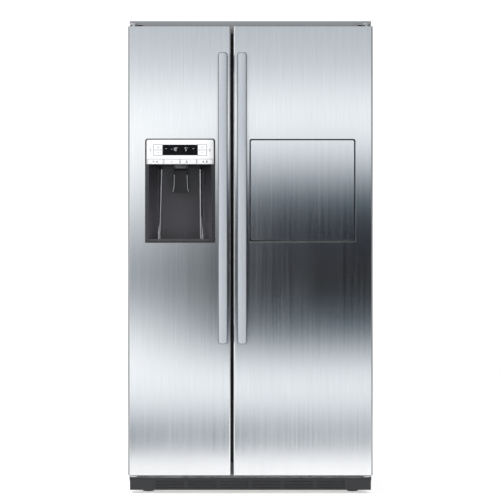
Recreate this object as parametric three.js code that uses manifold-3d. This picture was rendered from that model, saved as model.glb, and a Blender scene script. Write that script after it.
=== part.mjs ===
// A side by side refrigerator: a narrow freezer on the left, with an ice and water dispenser in its door,
// and a wide refrigerator on the right, with a drop-down home bar in its door.
// Millimetres, +Z up, +X to the right, the doors face -Y. The origin is on the floor, under the middle.

import * as THREE from 'three';
import { mergeVertices } from 'three/addons/utils/BufferGeometryUtils.js';
import Module from 'manifold-3d';

const wasm = await Module();
wasm.setup();

// ---------------------------------------------------------------- driving dimensions

const WIDTH = 910;
const HEIGHT = 1770;
const DEPTH = 720;
const GAP = 0.3; // left between pieces that touch
const PAST = 20; // how far a cutting solid runs past the face that it opens

// stations from front to back
const HANDLE_FRONT = -DEPTH / 2;
const DOOR_FRONT = HANDLE_FRONT + 48;
const DOOR_BACK = DOOR_FRONT + 75;
const CABINET_FRONT = DOOR_BACK + 12;
const CABINET_BACK = DEPTH / 2;
const PANEL_RECESS = 14; // the back panel sits this far inside the wrap's rear edge
const PANEL_FACE = CABINET_BACK - PANEL_RECESS + GAP; // front of the back panel and machine cover

// across
const SIDE = WIDTH / 2;
const WRAP = 2; // thickness of the cabinet's steel wrap
const FACE_SHEET = 1.5; // thickness of the cabinet's front face
const INSIDE = SIDE - WRAP - GAP; // what stands between the wrap's sides

// levels
const CABINET_BOTTOM = 40;
const CABINET_TOP = HEIGHT - 20;
const DOOR_BOTTOM = 70;
const DOOR_TOP = CABINET_TOP - 10;
const BASE_BOTTOM = 30;
const BASE_TOP = 64;
const PAN_THICK = 4;
const PAN_LEVEL = BASE_BOTTOM + PAN_THICK + GAP; // what stands in the machine space stands here

// doors
const DOOR_SPLIT = -68.5; // middle of the gap between the doors
const DOOR_GAP = 10;
const FREEZER_DOOR = { left: -SIDE, right: DOOR_SPLIT - DOOR_GAP / 2, hinge: -1 };
const FRIDGE_DOOR = { left: DOOR_SPLIT + DOOR_GAP / 2, right: SIDE, hinge: 1 };
const SKIN = 1.2;
const EDGE_ROUND = 7;
const PIVOT_INSET = 20; // hinge axis in from the door's outer edge
const PIVOT_Y = DOOR_BACK - 30;
const PIVOT_X = SIDE - PIVOT_INSET;
const PIN_RADIUS = 6;
const PIN_CLEARANCE = 0.6;
const PIN_HOLE_DEPTH = 28;
const DYKE_BACK = DOOR_BACK + 47; // raised rim of the door liner
const DYKE_WIDTH = 22;
const DYKE_BOTTOM = 165;
const DYKE_TOP = 1690;
const RACK_BACK = DOOR_BACK + 112;
const FREEZER_RACKS = [300, 620];
const FRIDGE_RACKS = [250, 620, 1430];

// compartments, inside the liners
const LINER = 2;
const FREEZER = { left: -405, right: -98, back: 270 };
const FRIDGE = { left: -38, right: 405, back: 285 };
const ROOM_FLOOR = 150;
const ROOM_TOP = 1700;
const STEP_FRONT = 155; // the floors step up over the machine space
const STEP_TOP = 330;
const MACHINE_FRONT = 185;
const MACHINE_TOP = 295;
const MACHINE_SIDE = 430;
const DYKES = {
  freezer: { left: FREEZER.left + 10, right: FREEZER.right - 32 },
  fridge: { left: FRIDGE.left + 30, right: FRIDGE.right - 10 },
};

// what stands in the compartments
const STORE_FRONT = -100;
const DRAWER_FRONT = -85;
const DUCT_FRONT = 235;
const STORE_BACK = DUCT_FRONT - 5;
const FREEZER_SHELVES = [620, 985];
const FRIDGE_SHELVES = [575, 950, 1320];
const UPPER_DRAWER = 345;
const LOWER_DRAWER = 154;
const UPPER_DRAWER_HEIGHT = 215;
const LOWER_DRAWER_HEIGHT = 172;
const DRAWER_INSET = 8; // clear of the compartment's sides, so that an open door's edge misses it
const ICE_BIN_LEVEL = 1349;
const SHELF_CLEARANCE = 1.5; // beside a shelf or a rear cover
const LEDGE_WIDTH = 12;
const LEDGE_HEIGHT = 7;

// dispenser
const DISPENSER_X = -261.5;
const DISPENSER_HALF = 130;
const DISPENSER_BOTTOM = 935;
const DISPENSER_TOP = 1322;
const NICHE_FLOOR = 940;
const NICHE_CEILING = 1226;
const NICHE_BACK = DOOR_FRONT + 90;
const NICHE_FRONT_HALF = 125;
const NICHE_BACK_HALF = 72;
const PANEL_TOP = 1318;
const PANEL_HALF = 124.5;
const PANEL_FRONT = DOOR_FRONT - 2.5;
const KEY_ROW = { bottom: 1229, top: 1245 };
const DISPLAY = { half: 66, bottom: 1260, top: 1300 };
const ROCKER = { width: 31, bottom: 1260, top: 1300 };
const CHUTE_HALF = 24;
const CHUTE = { front: -268, back: -240 }; // the ice passage's fall, behind the niche's ceiling
const HOUSING_WALL = 3;
const DUCT_WALL = 4;
const DUCT_HEIGHT = 60;
const CORNER = { top: 10, bottom: 3 }; // corner radii of the housing's flange

// home bar
const BAR = { left: -3.5, right: 390.5, bottom: 939, top: 1321 };
const BAR_ROUND = { top: 8, bottom: 4 };
const FLAP_GAP = 5;
const FLAP_THICK = 36;
const BAR_HOLE = { left: 30, right: 357, bottom: 978, top: 1288 };
const BAR_SEAT = DOOR_FRONT + 40;

// handles
const HANDLE_BOTTOM = 559;
const HANDLE_TOP = 1641;
const HANDLE_HALF = 17.3;
const HANDLE_THICK = 14;
const HANDLE_BOW = 14; // the bar's middle stands this far in front of its ends
const FREEZER_HANDLE_X = -102.5;
const FRIDGE_HANDLE_X = -31.3;

// ---------------------------------------------------------------- solids

// a closed solid from a three.js geometry, ready to be joined or cut
function solidOf(geometry) {
  const bare = geometry.clone();
  bare.deleteAttribute('normal');
  bare.deleteAttribute('uv');
  const merged = mergeVertices(bare, 1e-3);
  return new wasm.Manifold(new wasm.Mesh({
    numProp: 3,
    vertProperties: new Float32Array(merged.attributes.position.array),
    triVerts: new Uint32Array(merged.index.array),
  }));
}

// a three.js geometry from a solid
function geometryOf(solid) {
  const mesh = solid.getMesh();
  const geometry = new THREE.BufferGeometry();
  geometry.setAttribute('position', new THREE.BufferAttribute(mesh.vertProperties, mesh.numProp));
  geometry.setIndex(new THREE.BufferAttribute(mesh.triVerts, 1));
  geometry.computeVertexNormals();
  return geometry;
}

function join(solids) {
  return solids.reduce((whole, piece) => whole.add(piece));
}

function cut(solid, cutters) {
  return cutters.reduce((rest, cutter) => rest.subtract(cutter), solid);
}

// a box between two opposite corners
function block(low, high) {
  const size = low.map((value, i) => high[i] - value);
  const geometry = new THREE.BoxGeometry(...size);
  geometry.translate(...low.map((value, i) => value + size[i] / 2));
  return solidOf(geometry);
}

// a round bar between two points
function rod(from, to, radius, sides = 20) {
  const start = new THREE.Vector3(...from);
  const along = new THREE.Vector3(...to).sub(start);
  const geometry = new THREE.CylinderGeometry(radius, radius, along.length(), sides);
  geometry.translate(0, along.length() / 2, 0);
  const up = new THREE.Vector3(0, 1, 0);
  geometry.applyQuaternion(new THREE.Quaternion().setFromUnitVectors(up, along.normalize()));
  geometry.translate(...from);
  return solidOf(geometry);
}

// each axis with the two directions that an outline across it is drawn in
const ACROSS = {
  x: [new THREE.Vector3(0, 1, 0), new THREE.Vector3(0, 0, 1), new THREE.Vector3(1, 0, 0)],
  y: [new THREE.Vector3(1, 0, 0), new THREE.Vector3(0, 0, 1), new THREE.Vector3(0, -1, 0)],
  z: [new THREE.Vector3(1, 0, 0), new THREE.Vector3(0, 1, 0), new THREE.Vector3(0, 0, 1)],
};

// an outline drawn across an axis and extruded along it, from one station to the other
function prism(axis, shape, from, to, curveSegments = 5) {
  const geometry = new THREE.ExtrudeGeometry(shape, {
    depth: to - from,
    bevelEnabled: false,
    curveSegments,
  });
  const [u, v, w] = ACROSS[axis];
  geometry.applyMatrix4(new THREE.Matrix4().makeBasis(u, v, w));
  const start = axis === 'y' ? -to : from;
  geometry.translate(...w.clone().multiplyScalar(start).toArray());
  return solidOf(geometry);
}

// a solid of revolution about the vertical, from [radius, height] pairs that start and end on the axis
function turned(profile, sides = 24) {
  const geometry = new THREE.LatheGeometry(profile.map(([r, h]) => new THREE.Vector2(r, h)), sides);
  geometry.rotateX(Math.PI / 2);
  return solidOf(geometry);
}

function outline(points) {
  return new THREE.Shape(points.map(([a, b]) => new THREE.Vector2(a, b)));
}

// a rectangle with its top and its bottom corners rounded
function roundedRect(left, bottom, right, top, topRadius, bottomRadius = topRadius) {
  const shape = new THREE.Shape();
  shape.moveTo(left + bottomRadius, bottom);
  shape.lineTo(right - bottomRadius, bottom);
  shape.absarc(right - bottomRadius, bottom + bottomRadius, bottomRadius, -Math.PI / 2, 0, false);
  shape.lineTo(right, top - topRadius);
  shape.absarc(right - topRadius, top - topRadius, topRadius, 0, Math.PI / 2, false);
  shape.lineTo(left + topRadius, top);
  shape.absarc(left + topRadius, top - topRadius, topRadius, Math.PI / 2, Math.PI, false);
  shape.lineTo(left, bottom + bottomRadius);
  shape.absarc(left + bottomRadius, bottom + bottomRadius, bottomRadius, Math.PI, 1.5 * Math.PI, false);
  return shape;
}

function rectangle(left, bottom, right, top) {
  return outline([[left, bottom], [right, bottom], [right, top], [left, top]]);
}

// an extruded outline with holes through it
function pierced(axis, shape, holes, from, to) {
  return cut(prism(axis, shape, from, to), holes.map((hole) => prism(axis, hole, from - PAST, to + PAST)));
}

// an open-topped tray with walls all round
function tray(low, high, wall, front = wall) {
  const inner = block(
    [low[0] + wall, low[1] + front, low[2] + wall],
    [high[0] - wall, high[1] - wall, high[2] + PAST],
  );
  return cut(block(low, high), [inner]);
}

// ---------------------------------------------------------------- materials

function material(color, roughness, metalness = 0) {
  return new THREE.MeshStandardMaterial({ color, roughness, metalness });
}

const STEEL = () => material(0xc4c7cb, 0.32, 1);
const SHELL_PAINT = () => material(0x7d8186, 0.5);
const ALUMINIUM = () => material(0xb9bec6, 0.35, 1);
const WHITE_PLASTIC = () => material(0xeff1f2, 0.45);
const CLEAR_PLASTIC = () => material(0xdfe6e8, 0.15);
const DARK_PLASTIC = () => material(0x3b393b, 0.4);
const PANEL_PLASTIC = () => material(0xeceef0, 0.3);
const BLACK_PLASTIC = () => material(0x1b1c1e, 0.5);
const RUBBER = () => material(0x8d9094, 0.8);
const FOAM = () => material(0xe2d7a9, 0.95);
const GALVANISED = () => material(0x9a9ea1, 0.5, 1);
const COPPER = () => material(0xb4704a, 0.35, 1);
const GLASS = () => material(0xcfe0de, 0.1);

// ---------------------------------------------------------------- cabinet

// side view of a compartment, grown by some thickness, open past the front
function roomOutline(room, grow, front) {
  return outline([
    [front, ROOM_FLOOR - grow],
    [STEP_FRONT + grow, ROOM_FLOOR - grow],
    [STEP_FRONT + grow, STEP_TOP - grow],
    [room.back + grow, STEP_TOP - grow],
    [room.back + grow, ROOM_TOP + grow],
    [front, ROOM_TOP + grow],
  ]);
}

function roomSolid(room, grow, front) {
  return prism('x', roomOutline(room, grow, front), room.left - grow, room.right + grow);
}

// steel wrap over both sides and the top, with the front face that the gaskets close on
function outerShell() {
  const wrap = outline([
    [-SIDE, CABINET_BOTTOM], [-SIDE, CABINET_TOP], [SIDE, CABINET_TOP], [SIDE, CABINET_BOTTOM],
    [SIDE - WRAP, CABINET_BOTTOM], [SIDE - WRAP, CABINET_TOP - WRAP],
    [WRAP - SIDE, CABINET_TOP - WRAP], [WRAP - SIDE, CABINET_BOTTOM],
  ]);
  const face = rectangle(1 - SIDE, BASE_TOP, SIDE - 1, CABINET_TOP - 1);
  const grow = LINER + GAP;
  const mouths = [FREEZER, FRIDGE].map((room) => rectangle(
    room.left - grow,
    ROOM_FLOOR - grow,
    room.right + grow,
    ROOM_TOP + grow,
  ));
  return join([
    prism('y', wrap, CABINET_FRONT, CABINET_BACK),
    pierced('y', face, mouths, CABINET_FRONT, CABINET_FRONT + FACE_SHEET),
  ]);
}

function insulationFoam() {
  const body = block(
    [-INSIDE, CABINET_FRONT + FACE_SHEET + GAP, BASE_TOP + GAP],
    [INSIDE, CABINET_BACK - PANEL_RECESS, CABINET_TOP - WRAP - GAP],
  );
  const machine = block(
    [-MACHINE_SIDE, MACHINE_FRONT, 0],
    [MACHINE_SIDE, CABINET_BACK, MACHINE_TOP],
  );
  const rooms = [FREEZER, FRIDGE].map((room) => roomSolid(room, LINER + GAP, CABINET_FRONT - PAST));
  return cut(body, [machine, ...rooms]);
}

// flat sheet with upright beads pressed outwards
function backPanel() {
  const thick = 1.5;
  const bead = { half: 18, bottom: 380, top: 1660, height: 6 };
  const columns = [-300, -100, 100, 300];
  const beads = columns.map((x) => block(
    [x - bead.half, PANEL_FACE + thick / 3, bead.bottom],
    [x + bead.half, PANEL_FACE + bead.height, bead.top],
  ));
  const grooves = columns.map((x) => block(
    [x - bead.half + thick, PANEL_FACE - PAST, bead.bottom + thick],
    [x + bead.half - thick, PANEL_FACE + bead.height - thick, bead.top - thick],
  ));
  const sheet = block(
    [-INSIDE, PANEL_FACE, MACHINE_TOP],
    [INSIDE, PANEL_FACE + thick, CABINET_TOP - WRAP - GAP],
  );
  return cut(join([sheet, ...beads]), grooves);
}

// a plastic compartment liner with ledges along both side walls at the given levels
function liner(room, levels) {
  const hollow = cut(roomSolid(room, LINER, CABINET_FRONT), [roomSolid(room, 0, CABINET_FRONT - PAST)]);
  const ledges = levels.flatMap((level) => [room.left, room.right].map((wall) => {
    const inward = wall === room.left ? LEDGE_WIDTH : -LEDGE_WIDTH;
    const [low, high] = [wall - Math.sign(inward), wall + inward].sort((a, b) => a - b);
    return block([low, STORE_FRONT, level - GAP - LEDGE_HEIGHT], [high, STORE_BACK, level - GAP]);
  }));
  return join([hollow, ...ledges]);
}

const AXLE_Y = 300;
const AXLE_Z = 18;
const WHEEL_RADIUS = 18;
const WHEEL_X = 407;
const WHEEL_HALF = 9;
const FOOT_X = 385;
const FOOT_Y = -195;
const STEM_RADIUS = 6;
const AXLE_RADIUS = 4;
const BORE_CLEARANCE = 0.6;

// side rails, a front beam, a crossbar, the machine space's pan and the brackets of the rollers' axle
function baseFrame() {
  const front = CABINET_FRONT + 5;
  const back = CABINET_BACK - PANEL_RECESS;
  const railInside = 420;
  const crossbarAt = { front: 60, back: 90 };
  const bracket = { inner: 385, outer: 391, half: 12, bottom: 7 };
  const wheelRoom = { side: 3, ahead: 4, above: 12 };
  const rails = [-1, 1].map((s) => {
    const [low, high] = [s * INSIDE, s * railInside].sort((a, b) => a - b);
    return block([low, front, BASE_BOTTOM], [high, back, BASE_TOP]);
  });
  const beam = block([-INSIDE, front, BASE_BOTTOM], [INSIDE, front + 50, BASE_TOP]);
  const crossbar = block([-INSIDE, crossbarAt.front, BASE_BOTTOM], [INSIDE, crossbarAt.back, BASE_TOP]);
  const pan = block(
    [-INSIDE, MACHINE_FRONT + 1, BASE_BOTTOM],
    [INSIDE, back, BASE_BOTTOM + PAN_THICK],
  );
  const brackets = [-1, 1].map((s) => {
    const [low, high] = [s * bracket.inner, s * bracket.outer].sort((a, b) => a - b);
    return block(
      [low, AXLE_Y - bracket.half, bracket.bottom],
      [high, AXLE_Y + bracket.half, BASE_BOTTOM + 1],
    );
  });
  const wheelSide = WHEEL_HALF + wheelRoom.side;
  const wheelAhead = WHEEL_RADIUS + wheelRoom.ahead;
  const wheelSlots = [-1, 1].map((s) => block(
    [s * WHEEL_X - wheelSide, AXLE_Y - wheelAhead, BASE_BOTTOM - PAST / 4],
    [s * WHEEL_X + wheelSide, AXLE_Y + wheelAhead, BASE_BOTTOM + wheelRoom.above],
  ));
  const footHoles = [-1, 1].map((s) => rod(
    [s * FOOT_X, FOOT_Y, BASE_BOTTOM - PAST],
    [s * FOOT_X, FOOT_Y, BASE_TOP + PAST],
    STEM_RADIUS + BORE_CLEARANCE,
  ));
  const axleEnd = bracket.outer + 4;
  const axleHole = rod(
    [-axleEnd, AXLE_Y, AXLE_Z],
    [axleEnd, AXLE_Y, AXLE_Z],
    AXLE_RADIUS + BORE_CLEARANCE,
  );
  return cut(join([...rails, beam, crossbar, pan, ...brackets]), [...wheelSlots, ...footHoles, axleHole]);
}

// levelling foot: a pad, a nut and a threaded stem
function foot() {
  const pad = 22;
  const nut = 9;
  const stemTop = 58;
  return turned([
    [0, 0], [pad - 2, 0], [pad, 3], [pad, 8], [nut, 12], [nut, 20],
    [STEM_RADIUS, 20], [STEM_RADIUS, stemTop], [0, stemTop],
  ], 16);
}

// two rollers on one axle, drawn about the vertical
function rearRollers() {
  const end = WHEEL_X + WHEEL_HALF;
  const inner = WHEEL_X - WHEEL_HALF;
  const rim = WHEEL_RADIUS - 2;
  return turned([
    [0, -end], [rim, -end], [WHEEL_RADIUS, 2 - end], [WHEEL_RADIUS, -inner - 2], [rim, -inner],
    [AXLE_RADIUS, -inner], [AXLE_RADIUS, inner],
    [rim, inner], [WHEEL_RADIUS, inner + 2], [WHEEL_RADIUS, end - 2], [rim, end], [0, end],
  ], 20);
}

// plinth grille below the doors, with ends that run back to the cabinet
function kickGrille() {
  const half = SIDE - 5;
  const front = DOOR_FRONT + 30;
  const bottom = 12;
  const top = 57;
  const wall = 3;
  const slot = { pitch: 120, half: 52, height: 6, levels: [19, 30, 41] };
  const columns = [-2.5, -1.5, -0.5, 0.5, 1.5, 2.5];
  const face = rectangle(-half, bottom, half, top);
  const slots = columns.flatMap((column) => slot.levels.map((level) => rectangle(
    column * slot.pitch - slot.half,
    level,
    column * slot.pitch + slot.half,
    level + slot.height,
  )));
  const returns = [-1, 1].map((s) => {
    const [low, high] = [s * half, s * (half - wall)].sort((a, b) => a - b);
    return block([low, front + 1, bottom], [high, CABINET_FRONT - 3, top]);
  });
  return join([pierced('y', face, slots, front, front + wall), ...returns]);
}

// rear cover of the machine space, with air slots and the gland that the mains lead leaves through
function machineCover() {
  const slot = { pitch: 160, half: 60, height: 10, levels: [130, 165, 200] };
  const gland = { x: -330, z: 80, radius: 14, bore: 4.5, length: 12 };
  const face = rectangle(-INSIDE, CABINET_BOTTOM + 2, INSIDE, MACHINE_TOP - 2);
  const slots = [-2, -1, 0, 1, 2].flatMap((column) => slot.levels.map((level) => rectangle(
    column * slot.pitch - slot.half,
    level,
    column * slot.pitch + slot.half,
    level + slot.height,
  )));
  const boss = rod(
    [gland.x, PANEL_FACE + 1, gland.z],
    [gland.x, PANEL_FACE + gland.length, gland.z],
    gland.radius,
    16,
  );
  const passage = rod(
    [gland.x, PANEL_FACE - PAST, gland.z],
    [gland.x, PANEL_FACE + gland.length + PAST, gland.z],
    gland.bore,
    12,
  );
  return cut(join([pierced('y', face, slots, PANEL_FACE, PANEL_FACE + 2), boss]), [passage]);
}

const HINGE_HALF = 15;
const HINGE_PLATE = 4;

// a plate that runs forward over or under a door, with a pin on the door's axis
function hingePlate(level, pinFrom, pinTo, back) {
  const shape = new THREE.Shape();
  shape.moveTo(-HINGE_HALF, back);
  shape.lineTo(-HINGE_HALF, PIVOT_Y);
  shape.absarc(0, PIVOT_Y, HINGE_HALF, Math.PI, 0, false);
  shape.lineTo(HINGE_HALF, back);
  return join([
    prism('z', shape, level, level + HINGE_PLATE),
    rod([0, PIVOT_Y, pinFrom], [0, PIVOT_Y, pinTo], PIN_RADIUS),
  ]);
}

function topHinge() {
  return hingePlate(CABINET_TOP + GAP, DOOR_TOP - 25, CABINET_TOP + 3, CABINET_FRONT + 85);
}

function bottomHinge() {
  const plate = hingePlate(
    BASE_TOP - HINGE_PLATE,
    BASE_TOP - HINGE_PLATE / 2,
    DOOR_BOTTOM + 20,
    CABINET_FRONT + HINGE_PLATE,
  );
  const leg = block(
    [-HINGE_HALF, CABINET_FRONT + 0.5, BASE_BOTTOM + 2],
    [HINGE_HALF, CABINET_FRONT + 0.5 + HINGE_PLATE, BASE_TOP - 2],
  );
  return join([plate, leg]);
}

// full-width cover over the top hinges, open below, with room for the hinge plates to come forward
function hingeCover() {
  const half = SIDE - 1;
  const front = CABINET_FRONT + 3;
  const back = CABINET_FRONT + 100;
  const low = CABINET_TOP + GAP;
  const round = 10;
  const wall = 3;
  const notch = { half: 2 * HINGE_HALF, height: 6 };
  const profile = new THREE.Shape();
  profile.moveTo(front, low);
  profile.lineTo(back, low);
  profile.lineTo(back, HEIGHT - 6);
  profile.lineTo(back - round, HEIGHT);
  profile.lineTo(front + round, HEIGHT);
  profile.absarc(front + round, HEIGHT - round, round, Math.PI / 2, Math.PI, false);
  const hollow = block(
    [wall - half, front + wall, low - PAST],
    [half - wall, back - wall, HEIGHT - wall],
  );
  const notches = [-1, 1].map((s) => block(
    [s * PIVOT_X - notch.half, front - PAST, low - PAST],
    [s * PIVOT_X + notch.half, front + PAST, low + notch.height],
  ));
  return cut(prism('x', profile, -half, half), [hollow, ...notches]);
}

// ---------------------------------------------------------------- cooling system

// a welded steel pot on a mounting plate, with its terminal box
function compressor() {
  const radius = 73;
  const height = 161;
  const body = turned([
    [0, 4], [52, 4], [radius, 22], [radius, 108], [60, 142], [32, height - 3], [0, height],
  ]);
  const feet = block([-95, -60, 0], [95, 60, 5]);
  const terminals = block([60, -28, 40], [96, 28, 100]);
  return join([body, feet, terminals]);
}

// tubes along X through a row of fins, with end plates that reach down to a given level
function finnedCoil(low, high, fins, tubes, tubeRadius, plateBottom) {
  const thick = 2;
  const past = 8;
  const pitch = (high[0] - low[0] - thick) / (fins - 1);
  const plates = [];
  for (let i = 0; i < fins; i += 1) {
    const x = low[0] + i * pitch;
    const end = i === 0 || i === fins - 1;
    plates.push(block([x, low[1], end ? plateBottom : low[2]], [x + thick, high[1], high[2]]));
  }
  const runs = tubes.map(([y, z]) => rod([low[0] - past, y, z], [high[0] + past, y, z], tubeRadius, 6));
  return join([...plates, ...runs]);
}

const CONDENSER_FAN = { x: -28, y: 265, z: 140 };
const FAN_BORE = 3.6;
const FAN_SHAFT = 3;

// the finned coil in the machine space, with the condenser fan's motor on its end plate
function condenser() {
  const low = [-375, 205, 60];
  const high = [-80, 325, 215];
  const tubes = [low[1] + 25, high[1] - 25].flatMap((y) => [low[2] + 35, high[2] - 50].map((z) => [y, z]));
  const coil = finnedCoil(low, high, 8, tubes, 6, PAN_LEVEL);
  const { x, y, z } = CONDENSER_FAN;
  const motor = rod([high[0] - 1, y, z], [x - 16, y, z], 20);
  const shaft = rod([x - 18, y, z], [x + 4, y, z], FAN_SHAFT, 12);
  return join([coil, motor, shaft]);
}

const EVAPORATOR_FAN = { x: -251, y: 253, z: 1010 };

function evaporator() {
  const low = [-380, 243, 420];
  const high = [-125, 266, 880];
  const tubes = [470, 590, 710, 830].map((z) => [254, z]);
  return finnedCoil(low, high, 8, tubes, 5, low[2] - 10);
}

// a fan about the vertical: a hub with a blind bore from below, and raked blades
function fan(radius, height) {
  const half = height / 2;
  const hubRadius = 16;
  const root = 13; // a blade starts inside the hub
  const blade = { count: 5, width: 30, thick: 2, rake: 0.45 };
  const hub = turned([
    [0, -half], [hubRadius, -half], [hubRadius, half - 2], [hubRadius - 4, half], [0, half],
  ], 20);
  const bore = rod([0, 0, -half - PAST], [0, 0, half - 5], FAN_BORE, 12);
  const blades = [];
  for (let i = 0; i < blade.count; i += 1) {
    const geometry = new THREE.BoxGeometry(radius - root, blade.width, blade.thick);
    geometry.rotateX(blade.rake);
    geometry.translate(root + (radius - root) / 2, 0, 0);
    geometry.rotateZ((2 * Math.PI * i) / blade.count);
    blades.push(solidOf(geometry));
  }
  return cut(join([hub, ...blades]), [bore]);
}

// inner rear cover of the freezer, with air slots and the evaporator fan's motor behind it
function freezerDuctCover() {
  const slot = { inset: 60, height: 9, levels: [400, 430, 460, 900, 930, 1180, 1210, 1240] };
  const face = rectangle(
    FREEZER.left + SHELF_CLEARANCE,
    STEP_TOP + 8,
    FREEZER.right - SHELF_CLEARANCE,
    ROOM_TOP - 8,
  );
  const slots = slot.levels.map((level) => rectangle(
    FREEZER.left + slot.inset,
    level,
    FREEZER.right - slot.inset,
    level + slot.height,
  ));
  const { x, y, z } = EVAPORATOR_FAN;
  const motor = rod([x, DUCT_FRONT + 2, z], [x, y - 8.5, z], 14);
  const shaft = rod([x, DUCT_FRONT + 2, z], [x, y + 1, z], FAN_SHAFT, 12);
  return join([pierced('y', face, slots, DUCT_FRONT, DUCT_FRONT + 3), motor, shaft]);
}

// solenoid valve body with an inlet and an outlet stub
function waterInletValve() {
  return join([
    block([-22, -14, 0], [22, 14, 30]),
    rod([0, 0, 28], [0, 0, 58], 15, 16),
    rod([0, 12, 15], [0, 34, 15], 9, 12),
    rod([-20, 0, 15], [-36, 0, 15], 5, 12),
  ]);
}

// ---------------------------------------------------------------- ice

const AUGER_Z = 1379;
const AUGER_RADIUS = 24;
const AUGER_SHAFT = 4;
const ICE_BIN = { left: -400, right: -103, front: -178, back: 205, height: 130 };

function iceBin() {
  const top = ICE_BIN_LEVEL + ICE_BIN.height;
  const bin = tray(
    [ICE_BIN.left, ICE_BIN.front, ICE_BIN_LEVEL],
    [ICE_BIN.right, ICE_BIN.back, top],
    3,
  );
  const outlet = block(
    [DISPENSER_X - CHUTE_HALF, ICE_BIN.front - PAST, ICE_BIN_LEVEL + 4],
    [DISPENSER_X + CHUTE_HALF, ICE_BIN.front + 10, ICE_BIN_LEVEL + 50],
  );
  const shaftHole = rod(
    [DISPENSER_X, ICE_BIN.back - PAST, AUGER_Z],
    [DISPENSER_X, ICE_BIN.back + PAST, AUGER_Z],
    AUGER_SHAFT + 1,
    16,
  );
  return cut(bin, [outlet, shaftHole]);
}

// a helical blade round a shaft, drawn about the vertical and centred on the origin
function auger(length, turns) {
  const steps = turns * 10;
  const thick = 3;
  const inner = 2;
  const positions = [];
  const faces = [];
  for (let i = 0; i <= steps; i += 1) {
    const angle = (2 * Math.PI * turns * i) / steps;
    const z = -length / 2 + (length * i) / steps;
    for (const [r, dz] of [[inner, 0], [AUGER_RADIUS, 0], [AUGER_RADIUS, thick], [inner, thick]]) {
      positions.push(r * Math.cos(angle), r * Math.sin(angle), z + dz);
    }
  }
  for (let i = 0; i < steps; i += 1) {
    for (let k = 0; k < 4; k += 1) {
      const a = 4 * i + k;
      const b = 4 * i + ((k + 1) % 4);
      faces.push(a, b + 4, b, a, a + 4, b + 4);
    }
  }
  const last = 4 * steps;
  faces.push(0, 2, 3, 0, 1, 2, last, last + 2, last + 1, last, last + 3, last + 2);
  const geometry = new THREE.BufferGeometry();
  geometry.setAttribute('position', new THREE.Float32BufferAttribute(positions, 3));
  geometry.setIndex(faces);
  const shaft = rod([0, 0, -length / 2 - 4], [0, 0, length / 2 + 26], AUGER_SHAFT, 10);
  return join([shaft, solidOf(geometry)]);
}

// ice mould with its pockets, the control box at its front and the lugs that hang it on the liner wall
function iceMaker() {
  const mouldLow = [-380, -40, 1530];
  const mouldHigh = [-290, 200, 1575];
  const pocket = { count: 6, pitch: 39, wall: 8, floor: 12 };
  const mould = block(mouldLow, mouldHigh);
  const pockets = [];
  for (let i = 0; i < pocket.count; i += 1) {
    const y = mouldLow[1] + pocket.wall + i * pocket.pitch;
    pockets.push(block(
      [mouldLow[0] + pocket.wall, y, mouldLow[2] + pocket.floor],
      [mouldHigh[0] - pocket.wall, y + 32, mouldHigh[2] + PAST],
    ));
  }
  const control = block([-392, -95, 1505], [-276, mouldLow[1] + 1, 1625]);
  const lugs = [0, 150].map((y) => block(
    [FREEZER.left + 0.5, y, 1555],
    [mouldLow[0] + 1, y + 20, 1565],
  ));
  return join([cut(mould, pockets), control, ...lugs]);
}

// ---------------------------------------------------------------- shelves and drawers

// a glass plate with a raised front trim, drawn with its underside at level 0
function shelf(room, back) {
  const left = room.left + SHELF_CLEARANCE;
  const right = room.right - SHELF_CLEARANCE;
  const glass = 6;
  const trim = 6;
  return join([
    block([left, STORE_FRONT, 0], [right, back, glass]),
    block(
      [left + LEDGE_WIDTH, STORE_FRONT - trim, -trim],
      [right - LEDGE_WIDTH, STORE_FRONT + trim, glass + 4],
    ),
  ]);
}

// a drawer with a thick front and a grip slot through it, drawn with its underside at level 0
function drawer(left, right, back, height) {
  const body = tray([left, DRAWER_FRONT, 0], [right, back, height], 3, 8);
  const middle = (left + right) / 2;
  const slot = { half: 70, bottom: 42, top: 20 };
  const grip = block(
    [middle - slot.half, DRAWER_FRONT - PAST, height - slot.bottom],
    [middle + slot.half, DRAWER_FRONT + PAST, height - slot.top],
  );
  return cut(body, [grip]);
}

// a rack between the rims of a door liner, drawn with its underside at level 0
function doorRack(dyke, height) {
  return tray(
    [dyke.left + DYKE_WIDTH + GAP, DOOR_BACK + GAP, 0],
    [dyke.right - DYKE_WIDTH - GAP, RACK_BACK, height],
    3,
  );
}

// ---------------------------------------------------------------- doors

function pivotX(door) {
  return door.hinge * PIVOT_X;
}

// steel front with both sides folded back, before its opening is cut
function doorSkin(door) {
  const fold = (inset, back) => {
    const left = door.left + inset;
    const right = door.right - inset;
    const front = DOOR_FRONT + inset;
    const radius = EDGE_ROUND - inset;
    const shape = new THREE.Shape();
    shape.moveTo(left, back);
    shape.lineTo(left, front + radius);
    shape.absarc(left + radius, front + radius, radius, Math.PI, 1.5 * Math.PI, false);
    shape.lineTo(right - radius, front);
    shape.absarc(right - radius, front + radius, radius, -Math.PI / 2, 0, false);
    shape.lineTo(right, back);
    return shape;
  };
  return cut(
    prism('z', fold(0, DOOR_BACK), DOOR_BOTTOM, DOOR_TOP),
    [prism('z', fold(SKIN, DOOR_BACK + PAST), DOOR_BOTTOM - PAST, DOOR_TOP + PAST)],
  );
}

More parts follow.
